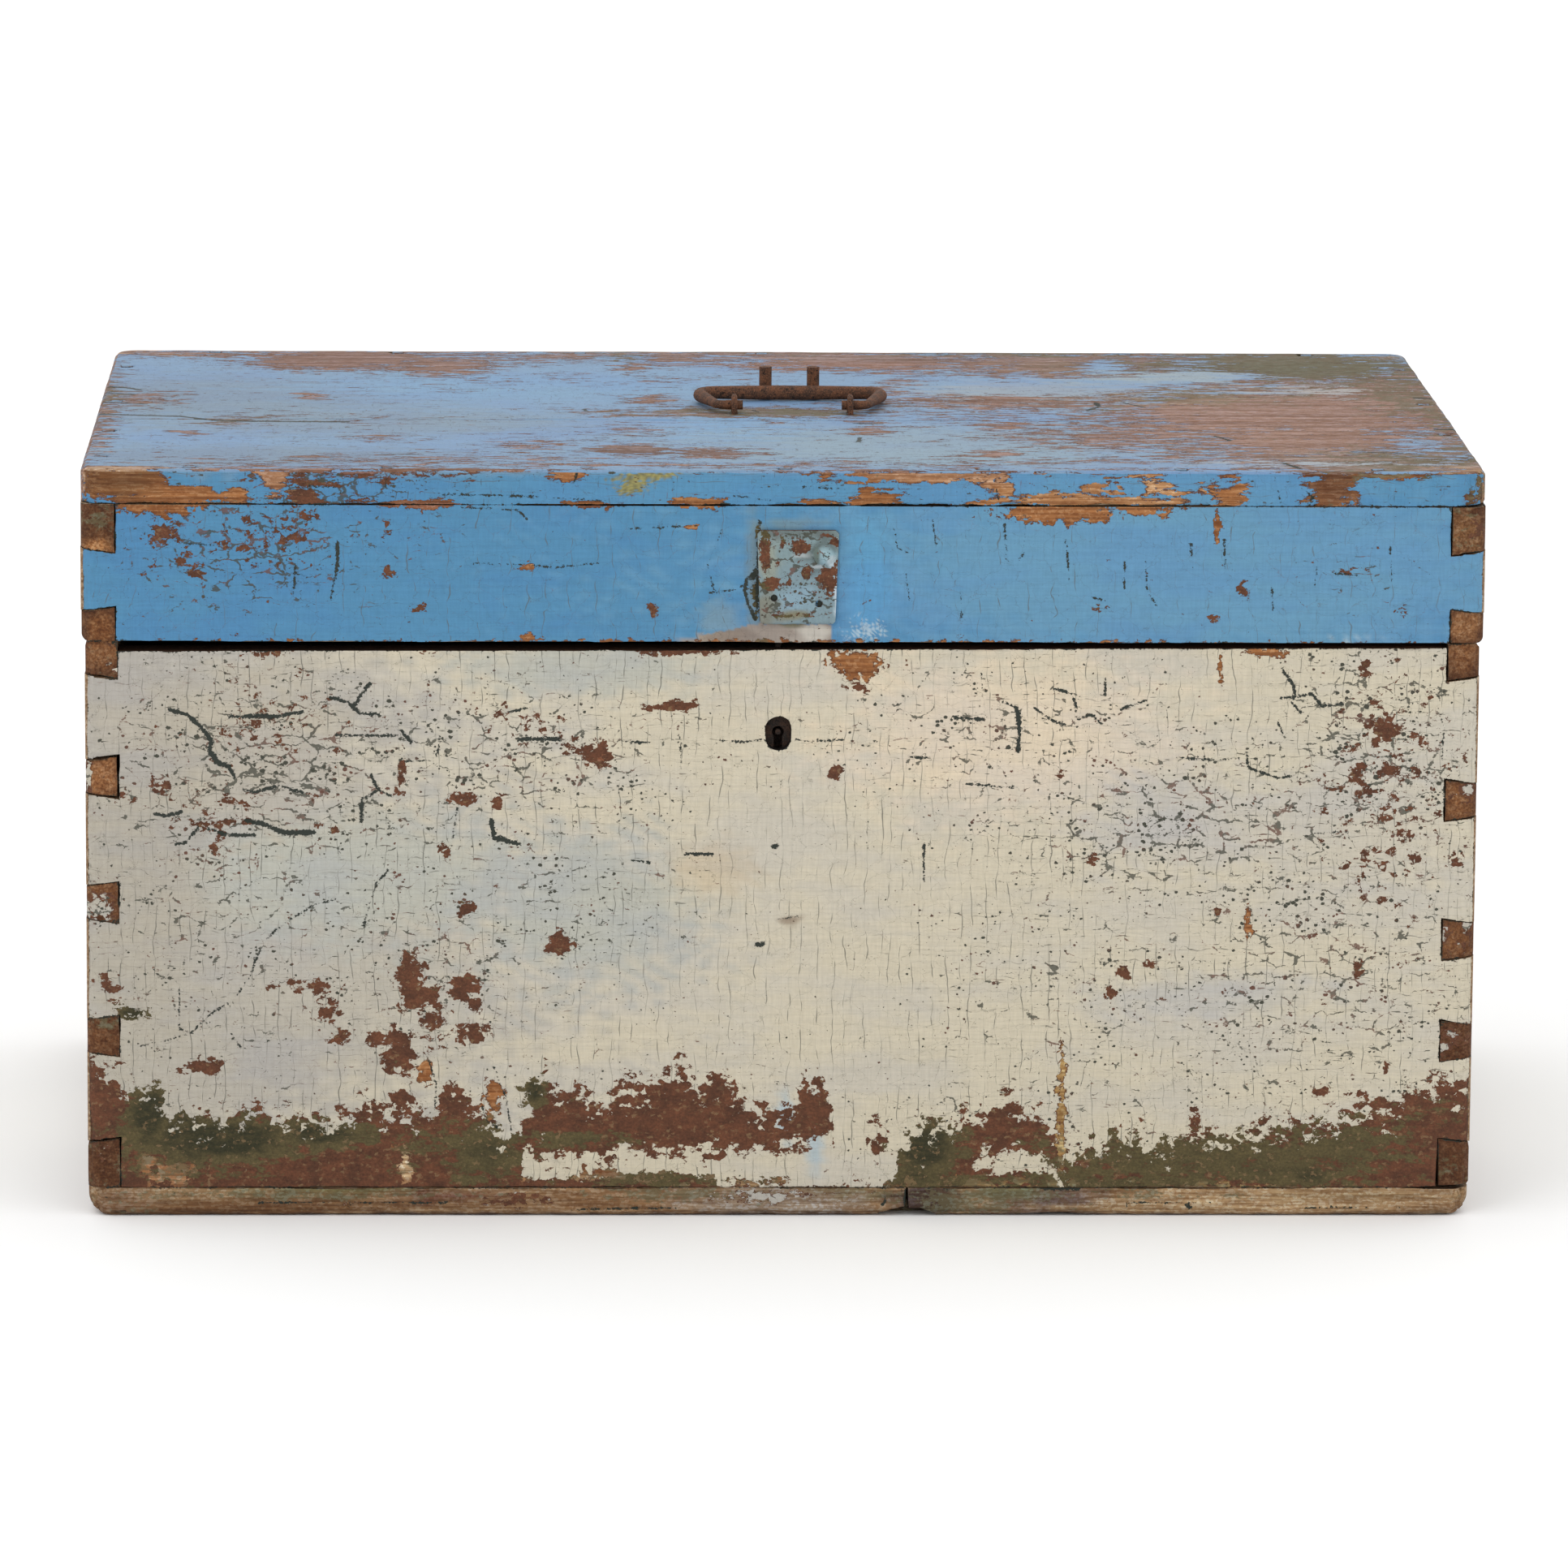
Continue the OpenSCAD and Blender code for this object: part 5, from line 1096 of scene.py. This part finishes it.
def rim_board(node, ways, cracks=(), pins=False):
    """One rim board. With pins, its ends show on the front, with the paint gone from them."""
    board = Board(node, ways, cell=0.75 * CELL, cracks=cracks)
    x, y, z = board.x, board.y, board.z
    front = y < RIM_FRONT
    side = np.abs(x) > RIM_END
    elsewhere = spots(np.where(side, y, x), z, REST_PATCHES)
    bare = np.where(front, spots(x, z, [
        (-357, 413.5, 24, 4.5, 1.1), (-206, 414, 20, 2, 0.9), (-110, 414, 12, 2, 0.9),
        (-47, 414, 12, 2, 0.8), (156, 411, 30, 5, 1.2), (204, 413, 22, 3, 1.0),
        (246, 403, 1.8, 8, 1.2), (-145, 378.6, 5, 1.6, 1.0), (-53, 402, 4, 1.4, 0.9),
        (-145, 339, 6, 2, 0.8), (0, 336, 400, 1.6, 0.5),
    ]), 0.7 * elsewhere - 0.1)
    primer = np.where(front, spots(x, z, [
        (-355, 397, 9, 9, 0.66), (-317, 391, 5, 3, 0.8), (-334, 375.5, 7, 3, 0.85),
        (-290, 395, 26, 14, 0.40), (-274, 408, 9, 7, 0.55), (-226, 400, 5, 5, 0.55),
        (261, 367, 3, 5, 1.0), (-74.5, 353.6, 3, 4, 1.0), (-225, 376, 5, 4, 0.7),
        (-209, 355, 5, 3, 0.7), (245, 350, 6, 2.4, 0.8), (352, 354, 6, 3, 0.7),
        (-17, 364, 3, 14, 0.62), (-15.5, 400, 2, 6, 0.7), (320, 377, 9, 2.2, 0.7),
        (178, 356, 7, 2.5, 0.5), (-345, 380, 14, 10, 0.36),
    ]), 0.1 + elsewhere)
    wood = tinted(x, z, FRESH_CHIP, [
        (-206, 414, 24, 4, (0.26, 0.11, 0.06)), (-110, 414, 14, 4, (0.26, 0.11, 0.06)),
    ])
    if pins:
        bare = np.where(front, 0.95 - spots(x, z, [(395, 400, 5, 8, 0.4)]), bare)
        primer = np.where(front, 1.1, primer)
        wood = np.where(front[:, None], tinted(x, z, DARK_PINE, [
            (-391, 389, 7, 6, (0.44, 0.21, 0.08)), (-388, 343, 9, 8, (0.22, 0.09, 0.03)),
            (388, 398, 10, 12, (0.24, 0.12, 0.05)), (388, 346, 10, 8, (0.30, 0.145, 0.06)),
        ]), wood)
    line = joint_line(board, 0.3)
    if cracks:
        line = np.minimum(line, rim_cracks(x, y, z))
    board.lay("primer", primer)
    board.lay("bare", bare, ALL_BARE)
    board.lay("mould", np.where(front, spots(x, z, [
        (-17, 374, 5, 32, 1.4), (-388, 406, 12, 6, 0.6), (388, 392, 12, 30, 0.35),
    ]), 0.3 * elsewhere))
    front_craze = 0.14 + 0.75 * spots(x, z, [
        (-305, 388, 66, 34, 1.5), (-215, 395, 40, 26, 0.8), (330, 375, 40, 30, 0.6),
    ])
    board.lay("craze", np.where(front, front_craze, 0.15 + 0.7 * elsewhere))
    board.lay("crack", line, NO_CRACK)
    coat = tinted(x, z, SKY_BLUE, [
        (240, 380, 240, 60, (0.118, 0.285, 0.43)), (-36, 350, 12, 10, (0.15, 0.27, 0.36)),
        (48, 372, 12, 30, (0.10, 0.30, 0.48)), (-17, 375, 5, 32, (0.14, 0.23, 0.28)),
        (6, 404, 17, 3, (0.14, 0.25, 0.31)),
    ])
    older = tinted(x, z, STRIP_BEIGE, [
        (17, 341, 10, 7, (0.52, 0.47, 0.38)), (6, 347, 8, 2.6, (0.19, 0.17, 0.10)),
        (-30, 340, 12, 5, (0.24, 0.19, 0.15)),
    ])
    sag = 0.22 * np.clip(-15 - x, 0, None)
    strip = np.minimum(27.3 - x, 347.0 - z - sag + 0.9 * wave(2.4 * x, 3 * z))
    share = np.where(front & (z < STRIP_TOP), np.clip(strip / 0.9, 0, 1), 0.0)
    round_fleck = 2.4 - np.hypot((x - 48) / 7, (z - 342) / 4.5) + 1.6 * wave(4.6 * x, 5.2 * z) - 1.2
    long_fleck = 2.0 - np.hypot((x - 327) / 8, (z - 338) / 2.0) + 1.2 * wave(2.6 * x, 5 * z) - 0.8
    fleck = np.maximum(np.clip(round_fleck, 0, 1), np.clip(long_fleck, 0, 1))
    fleck = np.where(front & (share == 0), 0.8 * fleck, 0.0)
    coat += (older - coat) * share[:, None]
    coat += (np.array(PALE_FLECK) - coat) * fleck[:, None]
    board.lay("coat", coat, INSIDE_PINE)
    board.lay("wood", wood, INSIDE_PINE)
    return board


BLUE_CHIP, BLUE_BLOT = (4.2, 4.2, 3.2), (15, 15, 8)
blue_coat = old_paint("blue_coat", (60, 1.4, 1.4), BLUE_CHIP, BLUE_BLOT, Z, 13.0, 0.6)
blue_coat_ends = old_paint("blue_coat_ends", (1.4, 60, 1.4), BLUE_CHIP, BLUE_BLOT, Z, 13.0, 0.6)
rim_board("lid_front_rim", [FRONT], carved_rim).place(blue_coat, "rim_paint")
rim_board("lid_back_rim", [BACK]).place(blue_coat, "rim_paint")
rim_board("lid_left_rim", [LEFT, FRONT, BACK], pins=True).place(blue_coat_ends, "rim_paint")
rim_board("lid_right_rim", [RIGHT, FRONT, BACK], pins=True).place(blue_coat_ends, "rim_paint")

# Hasp leaf: what is left of the hasp, an iron plate held to the rim by one domed rivet, with two
# empty holes. It was painted with the lid, and the grey-green paint has come off in scabs.
LEAF_PAINT = (0.205, 0.285, 0.295)
IRON_BARE = (0.085, 0.033, 0.024)
RIVET_X, RIVET_Z, RIVET_REACH = 22.4, 386, 7.4
LEAF_FACE = -251.6
leaf_coat = old_paint(
    "leaf_coat", (2.0, 2.0, 2.0), (2.6, 2.6, 2.4), (9, 9, 7), Z, 30.0, 0.3, (2.4, 2.4, 2.2)
)


def painted_iron(node, cell):
    board = Board(node, [FRONT], cell=cell, wear=0.25)
    x, z = board.x, board.z
    on_rivet = (np.hypot(x - RIVET_X, z - RIVET_Z) < RIVET_REACH) & (board.y < LEAF_FACE)
    scabs = spots(x, z, [
        (8.6, 391.3, 4.0, 3.6, 1.1), (25.5, 377, 4.0, 2.6, 1.1), (24.5, 373, 4.6, 3.0, 1.1),
        (26.5, 368, 2.6, 4.0, 1.1), (28.0, 382, 1.4, 4, 1.0), (-7.4, 369.6, 4.6, 3.0, 1.1),
        (2.8, 370, 2.0, 1.6, 0.95), (12.4, 377.5, 2.0, 3.0, 1.0), (-11.4, 389, 2.4, 9, 1.0),
        (29, 393.6, 3.0, 1.8, 1.0), (-1.4, 394, 1.0, 1.6, 1.0), (24, 397.4, 2.0, 0.9, 0.9),
        (-4, 381, 1.0, 1.4, 0.8), (-2, 351, 5, 1.0, 0.8), (12, 352, 4, 1.4, 0.6),
    ])
    board.lay("primer", 0.1 + np.where(on_rivet, 0.0, scabs))
    board.lay("bare", 0.0, ALL_BARE)
    board.lay("mould", spots(x, z, [
        (-12, 399, 20, 4, 0.9), (-14, 360, 5, 16, 0.9), (8, 349, 24, 3, 0.8), (4, 372, 16, 8, 0.3),
    ]))
    board.lay("craze", 0.9)
    board.lay("crack", NO_CRACK, NO_CRACK)
    # Among these tints the rivet is lit and shaded in paint: its dome lighter right of its middle,
    # with a painted highlight below right, painted shade at its left, and a painted shadow in a
    # dark ring round it on the leaf. The pale stripe at x 29.6 is a painted highlight on the leaf's
    # right edge.
    board.lay("coat", tinted(x, z, LEAF_PAINT, [
        (6, 360, 12, 8, (0.24, 0.35, 0.39)), (-9, 380, 6, 12, (0.28, 0.31, 0.25)),
        (-11, 355, 6, 12, (0.21, 0.215, 0.165)), (10, 400, 24, 4, (0.14, 0.175, 0.165)),
        (6, 352, 8, 3, (0.22, 0.20, 0.12)), (22.4, 386, 9.4, 9.4, (0.10, 0.13, 0.125)),
        (24, 386, 5.4, 5.4, (0.27, 0.40, 0.44)), (26.5, 382, 2.4, 4.0, (0.44, 0.52, 0.54)),
        (18, 386, 1.6, 5, (0.12, 0.16, 0.14)), (8.6, 386.2, 5, 0.9, (0.35, 0.39, 0.39)),
        (19, 379.6, 4, 1.0, (0.40, 0.44, 0.44)), (29.6, 360, 1.1, 14, (0.55, 0.64, 0.66)),
    ]), IRON_BARE)
    board.lay("wood", IRON_BARE, IRON_BARE)
    board.place(leaf_coat, "painted_iron")


painted_iron("hasp_leaf", 1.5)
painted_iron("hasp_rivet", 1.2)

# Ironwork that keeps the model's own shapes: hinges, lock, catch, staples, bail and stub pins.
# All of it is wrought or cut iron, brown with old rust. The lock's is painted nearly black, as
# painted shade seen through the keyhole.
RUST_DARK, RUST_WARM = (0.055, 0.029, 0.018), (0.155, 0.064, 0.031)
LOCK_SHADE_DARK, LOCK_SHADE_WARM = (0.016, 0.013, 0.011), (0.050, 0.026, 0.016)


def rusted(name, dark, warm, coat=None):
    f = Finish(name)
    scab = f.noise(f.place, (5, 5, 5), 6.0, 0.7)
    grit = f.noise(f.place, (0.7, 0.7, 0.7), 4.0, 0.65)
    paint = f.mix(f.step(scab, 0.52, 0.13), dark, warm)
    paint = f.mix(f.step(grit, 0.60, 0.1), paint, tuple(1.8 * part for part in warm))
    pitted = f.step(f.noise(f.place, (1.6, 1.6, 1.6), 4.0, 0.7), 0.60, 0.03)
    paint = f.mix(pitted, paint, tuple(0.3 * part for part in dark))
    if coat:
        paint = f.mix(f.step(f.noise(f.place, (9, 4, 4), 6.0, 0.75), 0.47, 0.02), paint, coat)
    f.shader.inputs["Metallic"].default_value = 0.0 if coat else 0.15
    roughness = f.times_plus(scab, 0.3, 0.62)
    return f.close(paint, roughness, f.times_plus(scab, 0.7, grit), 0.5, 0.8)


rust = rusted("old_rust", RUST_DARK, RUST_WARM)
lock_finish_painted_shade = rusted("lock_iron_painted_shade", LOCK_SHADE_DARK, LOCK_SHADE_WARM)
for name, cad in nodes.items():
    if not name.endswith(("board", "rim", "nails")):
        cad.data.materials.clear()
        cad.data.materials.append(lock_finish_painted_shade if name.startswith("lock") else rust)

# Cut nails: square tapering shanks and flat heads, hammered flush. The lid's were painted over with
# the boards, and those below the chest have rusted with the damp of the floor.
SUNK = 0.12 * MM
NAIL_BLUE = (0.16, 0.25, 0.35)


def solid_boxes(node):
    """Lowest and highest corner of each separate solid in one CAD node, in order of place."""
    work = merged_copy(node)
    left = set(work.verts)
    boxes = []
    while left:
        grow, solid = [left.pop()], []
        while grow:
            vert = grow.pop()
            solid.append(vert.co)
            for edge in vert.link_edges:
                other = edge.other_vert(vert)
                if other in left:
                    left.remove(other)
                    grow.append(other)
        low = tuple(min(co[axis] for co in solid) for axis in (X, Y, Z))
        high = tuple(max(co[axis] for co in solid) for axis in (X, Y, Z))
        boxes.append([low, high])
    boxes.sort()
    work.free()
    return boxes


nail_tree = bpy.data.node_groups.new("cut_nails", "GeometryNodeTree")
nail_inputs = {}
nail_tree.interface.new_socket("Places", in_out="INPUT", socket_type="NodeSocketGeometry")
for title, kind in (
    ("Head Width", "Float"), ("Head Thickness", "Float"), ("Shank Radius", "Float"),
    ("Tip Radius", "Float"), ("Length", "Float"), ("Batter", "Float"), ("Seed", "Float"),
    ("Turn", "Vector"), ("Finish", "Material"),
):
    socket = nail_tree.interface.new_socket(title, in_out="INPUT", socket_type="NodeSocket" + kind)
    nail_inputs[title] = socket.identifier
nail_tree.interface.new_socket("Nails", in_out="OUTPUT", socket_type="NodeSocketGeometry")
given = nail_tree.nodes.new("NodeGroupInput").outputs


def nail_step(kind, ties, out=0, **settings):
    return add_node(nail_tree, kind, ties, out, **settings)


def scaled(value, factor):
    return nail_step("ShaderNodeMath", {0: value, 1: factor}, operation="MULTIPLY")


def raised(height):
    return nail_step("ShaderNodeCombineXYZ", {Z: height})


head_size = nail_step("ShaderNodeCombineXYZ", {
    X: given["Head Width"], Y: given["Head Width"], Z: given["Head Thickness"],
})
head = nail_step("GeometryNodeMeshCube", {
    "Size": head_size, "Vertices X": 5, "Vertices Y": 5, "Vertices Z": 3,
})
head = nail_step("GeometryNodeTransform", {
    "Geometry": head, "Translation": raised(scaled(given["Head Thickness"], -0.5)),
})
head = nail_step("GeometryNodeStoreNamedAttribute", {
    "Geometry": head, "Name": "beaten", "Value": 1.0,
})
shank_length = nail_step("ShaderNodeMath", {
    0: given["Length"], 1: scaled(given["Head Thickness"], 0.5),
}, operation="SUBTRACT")
shank = nail_step("GeometryNodeMeshCone", {
    "Vertices": 4, "Radius Top": given["Shank Radius"], "Radius Bottom": given["Tip Radius"],
    "Depth": shank_length,
}, "Mesh")
shank = nail_step("GeometryNodeTransform", {
    "Geometry": shank, "Translation": raised(scaled(given["Length"], -1.0)),
    "Rotation": (0, 0, math.radians(45)),
})
nail_parts = nail_tree.nodes.new("GeometryNodeJoinGeometry")
for part in (head, shank):
    nail_tree.links.new(part, nail_parts.inputs[0])
nails = nail_step("GeometryNodeInstanceOnPoints", {
    "Points": given["Places"], "Instance": nail_parts.outputs[0], "Rotation": given["Turn"],
})
nails = nail_step("GeometryNodeRealizeInstances", {"Geometry": nails})
dents = nail_step("ShaderNodeTexNoise", {
    "W": given["Seed"], "Scale": 420.0, "Detail": 2.0,
}, "Color", noise_dimensions="4D")
dents = nail_step("ShaderNodeVectorMath", {0: dents, 1: (0.5, 0.5, 0.5)}, operation="SUBTRACT")
beaten = nail_step("GeometryNodeInputNamedAttribute", {"Name": "beaten"}, "Attribute")
dents = nail_step("ShaderNodeVectorMath", {
    0: dents, 3: scaled(given["Batter"], beaten),
}, operation="SCALE")
nails = nail_step("GeometryNodeSetPosition", {"Geometry": nails, "Offset": dents})
nails = nail_step("GeometryNodeSetMaterial", {"Geometry": nails, "Material": given["Finish"]})
nail_tree.links.new(nails, nail_tree.nodes.new("NodeGroupOutput").inputs[0])

painted_over = rusted("painted_nails", RUST_DARK, RUST_WARM, NAIL_BLUE)
for node, body, turn, finish in (
    ("lid_nails", "lid", (0, 0, 0), painted_over), ("bottom_nails", "chest", (math.pi, 0, 0), rust),
):
    boxes = solid_boxes(node)
    heads = []
    for low, high in boxes:
        face = low[Z] + SUNK if turn[X] else high[Z] - SUNK
        heads.append(((low[X] + high[X]) / 2, (low[Y] + high[Y]) / 2, face))
    low, high = boxes[0]
    points = bpy.data.meshes.new("cut_" + node)
    points.from_pydata(heads, [], [])
    piece = bpy.data.objects.new("cut_" + node, points)
    bpy.context.scene.collection.objects.link(piece)
    driven = piece.modifiers.new("cut_nails", "NODES")
    driven.node_group = nail_tree
    for title, value in {
        "Head Width": high[X] - low[X] - 0.1 * MM, "Head Thickness": 1.6 * MM,
        "Shank Radius": 1.8 * MM, "Tip Radius": 0.8 * MM, "Length": high[Z] - low[Z] - 2 * SUNK,
        "Batter": 0.35 * MM, "Seed": 4.0, "Turn": turn, "Finish": finish,
    }.items():
        driven[nail_inputs[title]] = value
    depsgraph = bpy.context.evaluated_depsgraph_get()
    shaped = bpy.data.meshes.new_from_object(piece.evaluated_get(depsgraph))
    piece.modifiers.clear()
    piece.data = shaped
    shaped.name = "cut_" + node
    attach(piece, body)
    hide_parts(node)
